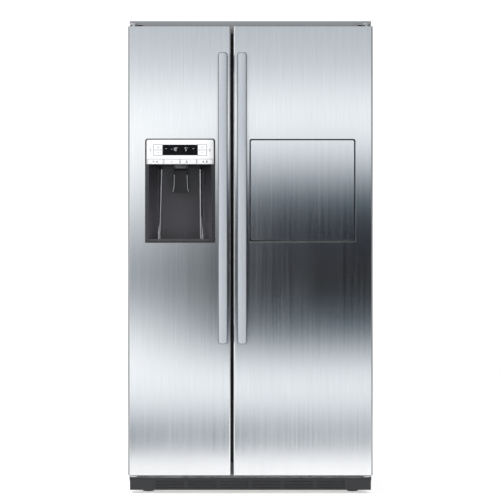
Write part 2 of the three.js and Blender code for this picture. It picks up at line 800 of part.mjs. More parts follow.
// foam body with the inner liner: it fills the skin and carries a raised rim on the compartment side
function doorCore(door, dyke) {
  const inset = SKIN + GAP;
  const radius = EDGE_ROUND - inset;
  const front = DOOR_FRONT + inset;
  const shape = new THREE.Shape();
  shape.moveTo(door.left + inset, DOOR_BACK);
  shape.lineTo(door.left + inset, front + radius);
  shape.absarc(door.left + inset + radius, front + radius, radius, Math.PI, 1.5 * Math.PI, false);
  shape.lineTo(door.right - inset - radius, front);
  shape.absarc(door.right - inset - radius, front + radius, radius, -Math.PI / 2, 0, false);
  shape.lineTo(door.right - inset, DOOR_BACK);
  const rim = rectangle(dyke.left, DYKE_BOTTOM, dyke.right, DYKE_TOP);
  const well = rectangle(
    dyke.left + DYKE_WIDTH,
    DYKE_BOTTOM + DYKE_WIDTH,
    dyke.right - DYKE_WIDTH,
    DYKE_TOP - DYKE_WIDTH,
  );
  const pinHoles = [DOOR_BOTTOM, DOOR_TOP].map((end) => rod(
    [pivotX(door), PIVOT_Y, end - PIN_HOLE_DEPTH],
    [pivotX(door), PIVOT_Y, end + PIN_HOLE_DEPTH],
    PIN_RADIUS + PIN_CLEARANCE,
  ));
  const body = join([
    prism('z', shape, DOOR_BOTTOM, DOOR_TOP),
    pierced('y', rim, [well], DOOR_BACK - 1, DYKE_BACK),
  ]);
  return cut(body, pinHoles);
}

// magnetic gasket ring on the back of a door
function gasket(left, right) {
  const bottom = 108;
  const top = 1722;
  const width = 14;
  const ring = rectangle(left, bottom, right, top);
  const inside = rectangle(left + width, bottom + width, right - width, top - width);
  return pierced('y', ring, [inside], DOOR_BACK + GAP, CABINET_FRONT - GAP);
}

// how far forward the handle's middle line stands at a height
function bow(z) {
  const middle = (HANDLE_BOTTOM + HANDLE_TOP) / 2;
  const fraction = (z - middle) / (HANDLE_TOP - middle);
  return HANDLE_BOW * fraction * fraction;
}

// a long bar with a crowned front, bowed forward in the middle, on two posts; drawn about X = 0
function handle() {
  const back = HANDLE_FRONT + HANDLE_THICK;
  const edge = HANDLE_FRONT + HANDLE_THICK / 2;
  const section = new THREE.Shape();
  section.moveTo(-HANDLE_HALF, edge);
  section.quadraticCurveTo(-HANDLE_HALF, HANDLE_FRONT + 1.5, 0, HANDLE_FRONT);
  section.quadraticCurveTo(HANDLE_HALF, HANDLE_FRONT + 1.5, HANDLE_HALF, edge);
  section.lineTo(HANDLE_HALF - 3, back);
  section.lineTo(3 - HANDLE_HALF, back);
  const geometry = new THREE.ExtrudeGeometry(section, {
    depth: HANDLE_TOP - HANDLE_BOTTOM,
    steps: 10,
    bevelEnabled: false,
    curveSegments: 4,
  });
  geometry.translate(0, 0, HANDLE_BOTTOM);
  const position = geometry.attributes.position;
  for (let i = 0; i < position.count; i += 1) {
    position.setY(i, position.getY(i) + bow(position.getZ(i)));
  }
  const face = roundedRect(-HANDLE_HALF - 1, HANDLE_BOTTOM, HANDLE_HALF + 1, HANDLE_TOP, 10);
  const bar = solidOf(geometry).intersect(prism('y', face, HANDLE_FRONT - PAST, DOOR_FRONT));
  const post = { half: 11, height: 50, round: 8, inset: 12 };
  const levels = [HANDLE_BOTTOM + post.inset, HANDLE_TOP - post.inset - post.height];
  const posts = levels.map((low) => {
    const shape = roundedRect(-post.half, low, post.half, low + post.height, post.round);
    return prism('y', shape, HANDLE_FRONT + HANDLE_BOW + 2, DOOR_FRONT - GAP, 3);
  });
  return join([bar, ...posts]);
}

// ---------------------------------------------------------------- dispenser

// plan of the niche: wide at the front, narrower at the back
function nichePlan(grow, back, front) {
  const slope = (NICHE_FRONT_HALF - NICHE_BACK_HALF) / (NICHE_BACK - DOOR_FRONT);
  const halfAt = (y) => NICHE_FRONT_HALF - slope * (y - DOOR_FRONT) + grow;
  return outline([
    [DISPENSER_X - halfAt(front), front], [DISPENSER_X + halfAt(front), front],
    [DISPENSER_X + halfAt(back), back], [DISPENSER_X - halfAt(back), back],
  ]);
}

// side view of the passage that drops ice from the compartment to the niche
function icePassage(grow) {
  const back = DOOR_BACK + 60;
  const { front, back: rear } = CHUTE;
  const shape = outline([
    [front - grow, 1190], [rear + grow, 1190], [rear + 4 + grow, 1290], [back, 1334 - grow],
    [back, 1384 + grow], [rear - 4, 1352 + grow], [front - grow, 1300],
  ]);
  return prism('x', shape, DISPENSER_X - CHUTE_HALF - grow, DISPENSER_X + CHUTE_HALF + grow);
}

// everything that the dispenser's housing takes out of the door's foam
function housingBody(grow) {
  const wall = HOUSING_WALL + grow;
  const inner = nichePlan(wall, NICHE_BACK + wall, DOOR_FRONT + 2);
  const flange = roundedRect(
    DISPENSER_X - DISPENSER_HALF - grow,
    DISPENSER_BOTTOM - grow,
    DISPENSER_X + DISPENSER_HALF + grow,
    DISPENSER_TOP + grow,
    CORNER.top,
    CORNER.bottom,
  );
  return join([
    prism('y', flange, DOOR_FRONT - 1.5, DOOR_FRONT + 5 + grow),
    prism('z', inner, DISPENSER_BOTTOM + 2 - grow, NICHE_CEILING + wall),
    block(
      [DISPENSER_X - PANEL_HALF - wall, DOOR_FRONT + 2, NICHE_CEILING - 2 - grow],
      [DISPENSER_X + PANEL_HALF + wall, DOOR_FRONT + 34 + grow, DISPENSER_TOP - 1 + grow],
    ),
  ]);
}

function dispenserHousing() {
  const niche = prism('z', nichePlan(0, NICHE_BACK, DOOR_FRONT - PAST), NICHE_FLOOR, NICHE_CEILING);
  const pocket = block(
    [DISPENSER_X - PANEL_HALF - GAP, DOOR_FRONT - PAST, NICHE_CEILING + 1],
    [DISPENSER_X + PANEL_HALF + GAP, DOOR_FRONT + 28, PANEL_TOP + GAP],
  );
  const spout = new THREE.Shape();
  spout.absellipse(DISPENSER_X, NICHE_CEILING, 30, 14, Math.PI, 2 * Math.PI, false, 0);
  const chute = block(
    [DISPENSER_X - CHUTE_HALF - HOUSING_WALL, CHUTE.front - DUCT_WALL, NICHE_CEILING - 1],
    [DISPENSER_X + CHUTE_HALF + HOUSING_WALL, CHUTE.back + 2 * DUCT_WALL, NICHE_CEILING + DUCT_HEIGHT],
  );
  const body = join([
    cut(housingBody(0), [niche, pocket]),
    prism('y', spout, CHUTE.front - 8, CHUTE.back + 6, 6),
    chute,
  ]);
  return cut(body, [icePassage(0)]);
}

function freezerDoorSkin() {
  const opening = roundedRect(
    DISPENSER_X - DISPENSER_HALF - GAP,
    DISPENSER_BOTTOM - GAP,
    DISPENSER_X + DISPENSER_HALF + GAP,
    DISPENSER_TOP + GAP,
    CORNER.top,
    CORNER.bottom,
  );
  return cut(doorSkin(FREEZER_DOOR), [prism('y', opening, DOOR_FRONT - PAST, DOOR_FRONT + PAST)]);
}

function freezerDoorCore() {
  const bulge = block(
    [DYKES.freezer.left, DOOR_BACK - 1, DISPENSER_BOTTOM - 30],
    [DYKES.freezer.right, DYKE_BACK - 5, DISPENSER_TOP + 83],
  );
  const room = 1;
  const chuteHalf = CHUTE_HALF + HOUSING_WALL + room;
  const chute = block(
    [DISPENSER_X - chuteHalf, CHUTE.front - DUCT_WALL - room, NICHE_CEILING],
    [DISPENSER_X + chuteHalf, CHUTE.back + 2 * DUCT_WALL + room, NICHE_CEILING + DUCT_HEIGHT + room],
  );
  return cut(join([doorCore(FREEZER_DOOR, DYKES.freezer), bulge]), [
    housingBody(GAP),
    chute,
    icePassage(GAP),
  ]);
}

const KEY_HALF = 29.6;
const KEY_PITCH = 61.6;
const KEY_PROUD = 0.4; // the keys stand this far in front of the panel
const KEY_CENTRES = [-1.5, -0.5, 0.5, 1.5].map((k) => DISPENSER_X + k * KEY_PITCH);
const ROCKER_OFFSET = 82;
const KEY_GAP = 0.6;

function controlPanel() {
  const face = roundedRect(
    DISPENSER_X - PANEL_HALF,
    NICHE_CEILING + 1.5,
    DISPENSER_X + PANEL_HALF,
    PANEL_TOP,
    6,
    1,
  );
  const keyHoles = KEY_CENTRES.map((x) => rectangle(
    x - KEY_HALF - KEY_GAP,
    KEY_ROW.bottom - KEY_GAP,
    x + KEY_HALF + KEY_GAP,
    KEY_ROW.top + KEY_GAP,
  ));
  const rockerHoles = [-1, 1].map((s) => rectangle(
    DISPENSER_X + s * ROCKER_OFFSET - ROCKER.width / 2 - KEY_GAP,
    ROCKER.bottom - KEY_GAP,
    DISPENSER_X + s * ROCKER_OFFSET + ROCKER.width / 2 + KEY_GAP,
    ROCKER.top + KEY_GAP,
  ));
  const window = block(
    [DISPENSER_X - DISPLAY.half, PANEL_FRONT - PAST, DISPLAY.bottom],
    [DISPENSER_X + DISPLAY.half, PANEL_FRONT + 1.5, DISPLAY.top],
  );
  return cut(pierced('y', face, [...keyHoles, ...rockerHoles], PANEL_FRONT, PANEL_FRONT + 6), [window]);
}

// a push key, drawn about its own middle with its face at Y = 0
function pushKey() {
  const half = (KEY_ROW.top - KEY_ROW.bottom) / 2;
  return prism('y', roundedRect(-KEY_HALF, -half, KEY_HALF, half, 1.5), 0, 12, 2);
}

// a rocker key, drawn about its own middle with its face at Y = 0 and a groove between its halves
function rockerKey() {
  const half = (ROCKER.top - ROCKER.bottom) / 2;
  const shape = roundedRect(-ROCKER.width / 2, -half, ROCKER.width / 2, half, 2);
  const groove = block([-PAST, -PAST, -0.5], [PAST, 1, 0.5]);
  return cut(prism('y', shape, 0, 10, 2), [groove]);
}

const PADDLE_PIVOT = { y: -250, z: 1204 };

// dispensing paddle, hung from a cross pin: narrow above, flared at its lower end; drawn about its pivot
function dispenserPaddle() {
  const shape = new THREE.Shape();
  const flare = -50; // where the sides turn outwards
  const end = -78;
  shape.moveTo(-22, 0);
  shape.lineTo(22, 0);
  shape.lineTo(24, flare);
  shape.quadraticCurveTo(25, -66, 31, end);
  shape.lineTo(-31, end);
  shape.quadraticCurveTo(-25, -66, -24, flare);
  const plate = prism('y', shape, 2, 7, 4);
  return join([plate, rod([-27, 3, 0], [27, 3, 0], 4.5, 14)]);
}

function dripTray() {
  const front = DOOR_FRONT + 2;
  const plan = nichePlan(-1.5, NICHE_BACK - 2, front);
  const plate = prism('z', plan, NICHE_FLOOR + GAP, NICHE_FLOOR + 9);
  const slot = { count: 5, pitch: 13, half: 60, width: 6, start: 14 };
  const slots = [];
  for (let i = 0; i < slot.count; i += 1) {
    const y = front + slot.start + i * slot.pitch;
    slots.push(block(
      [DISPENSER_X - slot.half, y, NICHE_FLOOR + 4],
      [DISPENSER_X + slot.half, y + slot.width, NICHE_FLOOR + PAST],
    ));
  }
  return cut(plate, slots);
}

// ---------------------------------------------------------------- home bar

function fridgeDoorSkin() {
  const opening = roundedRect(BAR.left, BAR.bottom, BAR.right, BAR.top, BAR_ROUND.top, BAR_ROUND.bottom);
  return cut(doorSkin(FRIDGE_DOOR), [prism('y', opening, DOOR_FRONT - PAST, DOOR_FRONT + PAST)]);
}

// the door's body with the recess that the flap closes and the way through to the home bar bin
function fridgeDoorCore() {
  const recess = roundedRect(BAR.left, BAR.bottom, BAR.right, BAR.top, BAR_ROUND.top, BAR_ROUND.bottom);
  const way = roundedRect(BAR_HOLE.left, BAR_HOLE.bottom, BAR_HOLE.right, BAR_HOLE.top, 12);
  return cut(doorCore(FRIDGE_DOOR, DYKES.fridge), [
    prism('y', recess, DOOR_FRONT - PAST, BAR_SEAT),
    prism('y', way, BAR_SEAT - PAST, DYKE_BACK + PAST),
  ]);
}

// drop-down flap: a rounded front slab, a seal bead and a plug that enters the opening
function homeBarFlap() {
  const front = new THREE.Shape();
  const left = BAR.left + FLAP_GAP;
  const right = BAR.right - FLAP_GAP;
  const round = 4;
  const back = DOOR_FRONT + FLAP_THICK;
  front.moveTo(left, back);
  front.lineTo(left, DOOR_FRONT + round);
  front.absarc(left + round, DOOR_FRONT + round, round, Math.PI, 1.5 * Math.PI, false);
  front.lineTo(right - round, DOOR_FRONT);
  front.absarc(right - round, DOOR_FRONT + round, round, -Math.PI / 2, 0, false);
  front.lineTo(right, back);
  const bottom = BAR.bottom + FLAP_GAP + 1;
  const top = BAR.top - FLAP_GAP;
  const face = roundedRect(left, bottom, right, top, 6, 3);
  const slab = prism('z', front, bottom, top).intersect(prism('y', face, DOOR_FRONT - PAST, back + PAST));
  const width = 8;
  const low = bottom + 18; // the seal's lower run, clear of the flap's pins
  const bead = rectangle(left + width, low, right - width, top - width);
  const inside = rectangle(left + 2 * width, low + width, right - 2 * width, top - 2 * width);
  const plug = roundedRect(
    BAR_HOLE.left + 6,
    BAR_HOLE.bottom + 8,
    BAR_HOLE.right - 6,
    BAR_HOLE.top - 6,
    10,
  );
  return join([
    slab,
    pierced('y', bead, [inside], back - 1, BAR_SEAT - GAP),
    prism('y', plug, back - 1, BAR_SEAT + 8, 3),
  ]);
}

// bin behind the flap: a floor, low rear wall and two sides, open to the flap and above
function homeBarBin() {
  const left = DYKES.fridge.left + DYKE_WIDTH + GAP;
  const right = DYKES.fridge.right - DYKE_WIDTH - GAP;
  const bottom = BAR_HOLE.bottom - 14;
  const front = DOOR_BACK + GAP;
  const wall = 3;
  const height = 300;
  return join([
    block([left, front, bottom], [right, RACK_BACK, bottom + 4]),
    block([left, RACK_BACK - wall, bottom], [right, RACK_BACK, bottom + 90]),
    block([left, front, bottom], [left + wall, RACK_BACK, bottom + height]),
    block([right - wall, front, bottom], [right, RACK_BACK, bottom + height]),
  ]);
}

// ---------------------------------------------------------------- assembly

const refrigerator = new THREE.Group();

function part(parent, name, solid, finish, position = [0, 0, 0], rotation = [0, 0, 0]) {
  const mesh = new THREE.Mesh(geometryOf(solid), finish);
  mesh.name = name;
  mesh.position.set(...position);
  mesh.rotation.set(...rotation);
  parent.add(mesh);
  return mesh;
}

const cabinet = new THREE.Group();
part(cabinet, 'outer_shell', outerShell(), SHELL_PAINT());
part(cabinet, 'back_panel', backPanel(), GALVANISED());
part(cabinet, 'insulation_foam', insulationFoam(), FOAM());
const freezerLedges = [...FREEZER_SHELVES, UPPER_DRAWER, ICE_BIN_LEVEL];
part(cabinet, 'freezer_liner', liner(FREEZER, freezerLedges), WHITE_PLASTIC());
part(cabinet, 'fridge_liner', liner(FRIDGE, [...FRIDGE_SHELVES, UPPER_DRAWER]), WHITE_PLASTIC());
part(cabinet, 'base_frame', baseFrame(), GALVANISED());
part(cabinet, 'kick_grille', kickGrille(), BLACK_PLASTIC());
part(cabinet, 'machine_cover', machineCover(), GALVANISED());
part(cabinet, 'hinge_cover', hingeCover(), SHELL_PAINT());
part(cabinet, 'rear_rollers', rearRollers(), BLACK_PLASTIC(), [0, AXLE_Y, AXLE_Z], [0, Math.PI / 2, 0]);
part(cabinet, 'compressor', compressor(), BLACK_PLASTIC(), [265, 265, PAN_LEVEL]);
part(cabinet, 'condenser', condenser(), COPPER());
part(cabinet, 'evaporator', evaporator(), ALUMINIUM());
part(cabinet, 'freezer_duct_cover', freezerDuctCover(), WHITE_PLASTIC());
part(cabinet, 'water_inlet_valve', waterInletValve(), WHITE_PLASTIC(), [110, 300, PAN_LEVEL]);
part(cabinet, 'ice_maker', iceMaker(), WHITE_PLASTIC());
part(cabinet, 'ice_bin', iceBin(), CLEAR_PLASTIC());
part(
  cabinet,
  'condenser_fan',
  fan(60, 22),
  BLACK_PLASTIC(),
  [CONDENSER_FAN.x, CONDENSER_FAN.y, CONDENSER_FAN.z],
  [0, Math.PI / 2, 0],
);
part(
  cabinet,
  'evaporator_fan',
  fan(52, 14),
  WHITE_PLASTIC(),
  [EVAPORATOR_FAN.x, EVAPORATOR_FAN.y, EVAPORATOR_FAN.z],
  [-Math.PI / 2, 0, 0],
);
part(
  cabinet,
  'ice_auger',
  auger(330, 4),
  GALVANISED(),
  [DISPENSER_X, 15, AUGER_Z],
  [-Math.PI / 2, 0, 0],
);
FREEZER_SHELVES.forEach((level, i) => {
  part(cabinet, `freezer_shelf_${i + 1}`, shelf(FREEZER, DUCT_FRONT - 2), GLASS(), [0, 0, level]);
});
FRIDGE_SHELVES.forEach((level, i) => {
  part(cabinet, `fridge_shelf_${i + 1}`, shelf(FRIDGE, FRIDGE.back - 3), GLASS(), [0, 0, level]);
});
for (const [name, room, back] of [
  ['freezer_drawer', FREEZER, STORE_BACK],
  ['crisper', FRIDGE, FRIDGE.back - 15],
]) {
  const left = room.left + DRAWER_INSET;
  const right = room.right - DRAWER_INSET;
  const deep = drawer(left, right, back, UPPER_DRAWER_HEIGHT);
  const short = drawer(left, right, STEP_FRONT - 5, LOWER_DRAWER_HEIGHT);
  part(cabinet, `${name}_upper`, deep, CLEAR_PLASTIC(), [0, 0, UPPER_DRAWER]);
  part(cabinet, `${name}_lower`, short, CLEAR_PLASTIC(), [0, 0, LOWER_DRAWER]);
}
for (const [label, s] of [['left', -1], ['right', 1]]) {
  part(cabinet, `top_hinge_${label}`, topHinge(), GALVANISED(), [s * PIVOT_X, 0, 0]);
  part(cabinet, `bottom_hinge_${label}`, bottomHinge(), GALVANISED(), [s * PIVOT_X, 0, 0]);
  part(cabinet, `foot_${label}`, foot(), BLACK_PLASTIC(), [s * FOOT_X, FOOT_Y, 0]);
}
refrigerator.add(cabinet);

const freezerDoor = new THREE.Group();
part(freezerDoor, 'freezer_door_skin', freezerDoorSkin(), STEEL());
part(freezerDoor, 'freezer_door_liner', freezerDoorCore(), WHITE_PLASTIC());
part(freezerDoor, 'freezer_door_gasket', gasket(24 - SIDE, FREEZER_DOOR.right - 4), RUBBER());
part(freezerDoor, 'freezer_handle', handle(), ALUMINIUM(), [FREEZER_HANDLE_X, 0, 0]);
part(freezerDoor, 'dispenser_housing', dispenserHousing(), DARK_PLASTIC());
part(freezerDoor, 'control_panel', controlPanel(), PANEL_PLASTIC());
KEY_CENTRES.forEach((x, i) => {
  const z = (KEY_ROW.bottom + KEY_ROW.top) / 2;
  part(freezerDoor, `push_key_${i + 1}`, pushKey(), PANEL_PLASTIC(), [x, PANEL_FRONT - KEY_PROUD, z]);
});
for (const [label, s] of [['left', -1], ['right', 1]]) {
  const place = [
    DISPENSER_X + s * ROCKER_OFFSET,
    PANEL_FRONT - KEY_PROUD,
    (ROCKER.bottom + ROCKER.top) / 2,
  ];
  part(freezerDoor, `temperature_key_${label}`, rockerKey(), PANEL_PLASTIC(), place);
}
part(
  freezerDoor,
  'dispenser_paddle',
  dispenserPaddle(),
  DARK_PLASTIC(),
  [DISPENSER_X, PADDLE_PIVOT.y, PADDLE_PIVOT.z],
);
part(freezerDoor, 'drip_tray', dripTray(), DARK_PLASTIC());
FREEZER_RACKS.forEach((level, i) => {
  const rack = doorRack(DYKES.freezer, 110);
  part(freezerDoor, `freezer_door_rack_${i + 1}`, rack, CLEAR_PLASTIC(), [0, 0, level]);
});
refrigerator.add(freezerDoor);

const fridgeDoor = new THREE.Group();
part(fridgeDoor, 'fridge_door_skin', fridgeDoorSkin(), STEEL());
part(fridgeDoor, 'fridge_door_liner', fridgeDoorCore(), WHITE_PLASTIC());
part(fridgeDoor, 'fridge_door_gasket', gasket(FRIDGE_DOOR.left + 4, SIDE - 24), RUBBER());
part(fridgeDoor, 'fridge_handle', handle(), ALUMINIUM(), [FRIDGE_HANDLE_X, 0, 0]);
part(fridgeDoor, 'home_bar_flap', homeBarFlap(), STEEL());
part(fridgeDoor, 'home_bar_bin', homeBarBin(), CLEAR_PLASTIC());
FRIDGE_RACKS.forEach((level, i) => {
  const rack = doorRack(DYKES.fridge, 120);
  part(fridgeDoor, `fridge_door_rack_${i + 1}`, rack, CLEAR_PLASTIC(), [0, 0, level]);
});
refrigerator.add(fridgeDoor);

export default refrigerator;
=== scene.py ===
import math

import bmesh
import bpy
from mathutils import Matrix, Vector

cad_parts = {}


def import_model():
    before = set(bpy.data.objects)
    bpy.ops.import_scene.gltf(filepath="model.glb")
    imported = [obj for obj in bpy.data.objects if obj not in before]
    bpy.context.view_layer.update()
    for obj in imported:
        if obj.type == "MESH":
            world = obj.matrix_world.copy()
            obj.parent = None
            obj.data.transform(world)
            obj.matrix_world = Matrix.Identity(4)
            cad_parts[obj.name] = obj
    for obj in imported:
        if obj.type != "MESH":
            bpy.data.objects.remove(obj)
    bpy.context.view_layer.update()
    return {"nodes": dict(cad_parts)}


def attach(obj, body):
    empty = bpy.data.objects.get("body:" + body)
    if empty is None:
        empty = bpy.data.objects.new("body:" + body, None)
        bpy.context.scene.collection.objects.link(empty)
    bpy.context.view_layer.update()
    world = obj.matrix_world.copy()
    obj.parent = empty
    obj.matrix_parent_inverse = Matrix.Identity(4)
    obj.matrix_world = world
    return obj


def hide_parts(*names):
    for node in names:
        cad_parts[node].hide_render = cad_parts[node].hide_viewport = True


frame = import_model()

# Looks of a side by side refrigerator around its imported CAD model. Shapes are drawn in millimetres in
# the model's own frame, and made in metres. The doors face -Y and the origin is on the floor.

MM = 0.001

# ------------ dimensions shared with the CAD model

SIDE = 455
DOOR_FRONT = -312
DOOR_BACK = -237
DOOR_BOTTOM = 70
DOOR_TOP = 1740
FREEZER_DOOR = (-455, -73.5)
FRIDGE_DOOR = (-63.5, 455)
SKIN = 1.2
EDGE_ROUND = 7
FREEZER_ROOM = (-405, -98)
FRIDGE_ROOM = (-38, 405)

DISPENSER_X = -261.5
DISPENSER = (-391.5, 935, -131.5, 1322)
DISPENSER_CORNERS = (10, 3)
DISPENSER_GAP = 0.3
NICHE_FLOOR = 940
NICHE_CEILING = 1226
NICHE_FRONT_HALF = 125
NICHE_FOOT_HALF = 78
NICHE_TOP_HALF = 72
NICHE_BACK = -222
NICHE_FILLET = 9
HOUSING_WALL = 2.5
PANEL_HALF = 124.5
PANEL_BOTTOM = 1227.5
PANEL_TOP = 1318
PANEL_FRONT = -314.5
KEY_FRONT = -314.9
KEY_HALF = 29.6
KEY_ROW = (1229, 1245)
KEY_CENTRES = [DISPENSER_X + k * 61.6 for k in (-1.5, -0.5, 0.5, 1.5)]
ROCKER_OFFSET = 82
ROCKER_HALF = 15.5
DISPLAY_HALF = 66
DISPLAY = (1260, 1300)
WINDOW_DEPTH = 0.35
KEY_GAP = 0.6

BAR = (-3.5, 939, 390.5, 1321)
BAR_CORNERS = (8, 4)
BAR_SEAT = -272
FLAP = (1.5, 945, 385.5, 1316)
FLAP_CORNERS = (6, 3)
FLAP_BACK = -276
BAR_HOLE = (30, 978, 357, 1288)

HANDLE_X = {"freezer": -102.5, "fridge": -31.3}
HANDLE_BOTTOM = 559
HANDLE_TOP = 1641
HANDLE_HALF = 17.3
HANDLE_FRONT = -360
HANDLE_THICK = 14
HANDLE_BOW = 14

SIDES = (("left", -1), ("right", 1))

# ------------ mesh helpers


def place(axis, a, b, level):
    """A point of an outline drawn across an axis, at a level along it."""
    return {"x": (level, a, b), "y": (a, level, b), "z": (a, b, level)}[axis]


def arc(cx, cy, radius, start, end, steps):
    """Points of an arc, its angles in degrees."""
    angles = [math.radians(start + (end - start) * i / steps) for i in range(steps + 1)]
    return [(cx + radius * math.cos(a), cy + radius * math.sin(a)) for a in angles]


def rounded(area, top, bottom=None, steps=6):
    """A rectangle (left, bottom, right, top) with its top and its bottom corners rounded."""
    left, low, right, high = area
    base = top if bottom is None else bottom
    points = arc(right - base, low + base, base, -90, 0, steps)
    points += arc(right - top, high - top, top, 0, 90, steps)
    points += arc(left + top, high - top, top, 90, 180, steps)
    points += arc(left + base, low + base, base, 180, 270, steps)
    return points


def inset(area, by):
    return (area[0] + by, area[1] + by, area[2] - by, area[3] - by)


def about(x, half, levels):
    """A rectangle of some half width about x, between two levels."""
    return (x - half, levels[0], x + half, levels[1])


def grow_prism(bm, axis, outline, low, high):
    """Adds a closed solid: an outline across an axis, between two levels."""
    rings = [[bm.verts.new(place(axis, a, b, level)) for a, b in outline] for level in (low, high)]
    count = len(outline)
    faces = [bm.faces.new(ring) for ring in rings]
    for i in range(count):
        j = (i + 1) % count
        faces.append(bm.faces.new((rings[0][i], rings[0][j], rings[1][j], rings[1][i])))
    bmesh.ops.recalc_face_normals(bm, faces=faces)


def prism(axis, outline, low, high):
    bm = bmesh.new()
    grow_prism(bm, axis, outline, low, high)
    return bm


def box(low, high):
    bm = bmesh.new()
    outline = [(low[0], low[1]), (high[0], low[1]), (high[0], high[1]), (low[0], high[1])]
    grow_prism(bm, "z", outline, low[2], high[2])
    return bm


def rings_solid(rings):
    """A closed solid through rings of points that each have the same count, capped at both ends."""
    bm = bmesh.new()
    made = [[bm.verts.new(point) for point in ring] for ring in rings]
    count = len(made[0])
    for lower, upper in zip(made, made[1:]):
        for i in range(count):
            j = (i + 1) % count
            bm.faces.new((lower[i], lower[j], upper[j], upper[i]))
    bm.faces.new(made[0])
    bm.faces.new(made[-1])
    bmesh.ops.recalc_face_normals(bm, faces=bm.faces)
    return bm


def circle(count):
    """Unit vectors round a whole circle."""
    angles = [2 * math.pi * i / count for i in range(count)]
    return [(math.cos(angle), math.sin(angle)) for angle in angles]


def turned(profile, centre, axis, sides):
    """A solid of revolution from (radius, level) pairs about an axis through a centre."""
    rings = []
    for radius, level in profile:
        points = [place(axis, radius * c, radius * s, level) for c, s in circle(sides)]
        rings.append([tuple(a + b for a, b in zip(centre, point)) for point in points])
    return rings_solid(rings)


def oval(x, y, z, half_x, half_y, count):
    """A level ring of points round an upright axis."""
    return [(x + half_x * c, y + half_y * s, z) for c, s in circle(count)]


def soften(bm, width, segments=2, angle=30, chosen=None):
    """Rounds the edges that turn by more than an angle, or those of them that are chosen."""
    limit = math.radians(angle)
    edges = [
        e for e in bm.edges
        if len(e.link_faces) == 2 and e.calc_face_angle(0) > limit and (chosen is None or chosen(e))
    ]
    bmesh.ops.bevel(
        bm, geom=edges, offset=width, offset_type="OFFSET", segments=segments, profile=0.5,
        affect="EDGES", clamp_overlap=True, face_strength_mode="AFFECTED",
    )
    return bm


def edges_within(front, low=-math.inf, high=math.inf):
    """Chooses the edges nearer than a depth and between two levels."""
    return lambda edge: all(v.co.y < front and low < v.co.z < high for v in edge.verts)


def mesh_of(name, bm):
    """A mesh that takes over a bmesh."""
    mesh = bpy.data.meshes.new(name)
    bm.to_mesh(mesh)
    bm.free()
    return mesh


def linked(name, data):
    """A new object in the scene."""
    obj = bpy.data.objects.new(name, data)
    bpy.context.scene.collection.objects.link(obj)
    return obj


def merged(parts):
    """One bmesh that holds several, without joining their surfaces."""
    whole = bmesh.new()
    for part in parts:
        mesh = mesh_of("part", part)
        whole.from_mesh(mesh)
        bpy.data.meshes.remove(mesh)
    return whole


def combined(bm, others, operation):
    """A bmesh with others cut out of it or joined to it as solids."""
    whole, *tools = [linked("scratch", mesh_of("scratch", solid)) for solid in (bm, *others)]
    for tool in tools:
        step = whole.modifiers.new("step", "BOOLEAN")
        step.operation = operation
        step.solver = "EXACT"
        step.object = tool
    bpy.context.view_layer.update()
    evaluated = whole.evaluated_get(bpy.context.evaluated_depsgraph_get())
    result = bmesh.new()
    result.from_mesh(evaluated.to_mesh())
    evaluated.to_mesh_clear()
    for obj in (whole, *tools):
        mesh = obj.data
        bpy.data.objects.remove(obj)
        bpy.data.meshes.remove(mesh)
    bmesh.ops.remove_doubles(result, verts=result.verts, dist=0.001)
    return result


def carved(bm, cutters):
    return combined(bm, cutters, "DIFFERENCE")


def fused(bm, others):
    return combined(bm, others, "UNION")


def piece(name, bm, finish, body, replaces=(), smooth=35):
    """An object in metres from a bmesh in millimetres, riding on a CAD body."""
    bmesh.ops.scale(bm, vec=(MM, MM, MM), verts=bm.verts)
    mesh = mesh_of(name, bm)
    mesh.materials.append(finish)
    mesh.shade_smooth()
    mesh.set_sharp_from_angle(angle=math.radians(smooth))
    obj = linked(name, mesh)
    flatten = obj.modifiers.new("flat_faces", "WEIGHTED_NORMAL")
    flatten.keep_sharp = True
    flatten.weight = 80
    flatten.use_face_influence = True
    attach(obj, body)
    if replaces:
        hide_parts(*replaces)
    return obj


def copied(node, split=False):
    """A CAD node's mesh in millimetres, its flat areas merged, or cut into even triangles."""
    bm = bmesh.new()
    bm.from_mesh(frame["nodes"][node].data)
    bmesh.ops.scale(bm, vec=(1 / MM, 1 / MM, 1 / MM), verts=bm.verts)
    bmesh.ops.remove_doubles(bm, verts=bm.verts, dist=0.002)
    bmesh.ops.dissolve_limit(bm, angle_limit=math.radians(0.5), verts=bm.verts, edges=bm.edges)
    if split:
        bmesh.ops.triangulate(bm, faces=bm.faces, quad_method="BEAUTY", ngon_method="BEAUTY")
    return bm


# nodes with holes or steps, whose edges can only be rounded between even triangles
PIERCED = {
    "outer_shell", "back_panel", "base_frame", "kick_grille", "machine_cover", "ice_maker",
    "bottom_hinge_left", "bottom_hinge_right", "freezer_door_liner", "fridge_door_liner",
    "ice_bin", "condenser_fan", "evaporator_fan",
}


def refined(node, finish, body, width=0.6, segments=2):
    """A finer stand-in for a CAD node: the same solid with its edges rounded."""
    bm = soften(copied(node, node in PIERCED), width, segments)
    bmesh.ops.dissolve_degenerate(bm, dist=0.001, edges=bm.edges)
    piece(node + "_shape", bm, finish, body, [node], smooth=25)


# ------------ material helpers


def fill(node, **inputs):
    """Sets some of a shader node's inputs, their names' spaces written as underscores."""
    for key, value in inputs.items():
        node.inputs[key.replace("_", " ")].default_value = value
    return node


def add(tree, kind, **inputs):
    return fill(tree.nodes.new("ShaderNode" + kind), **inputs)


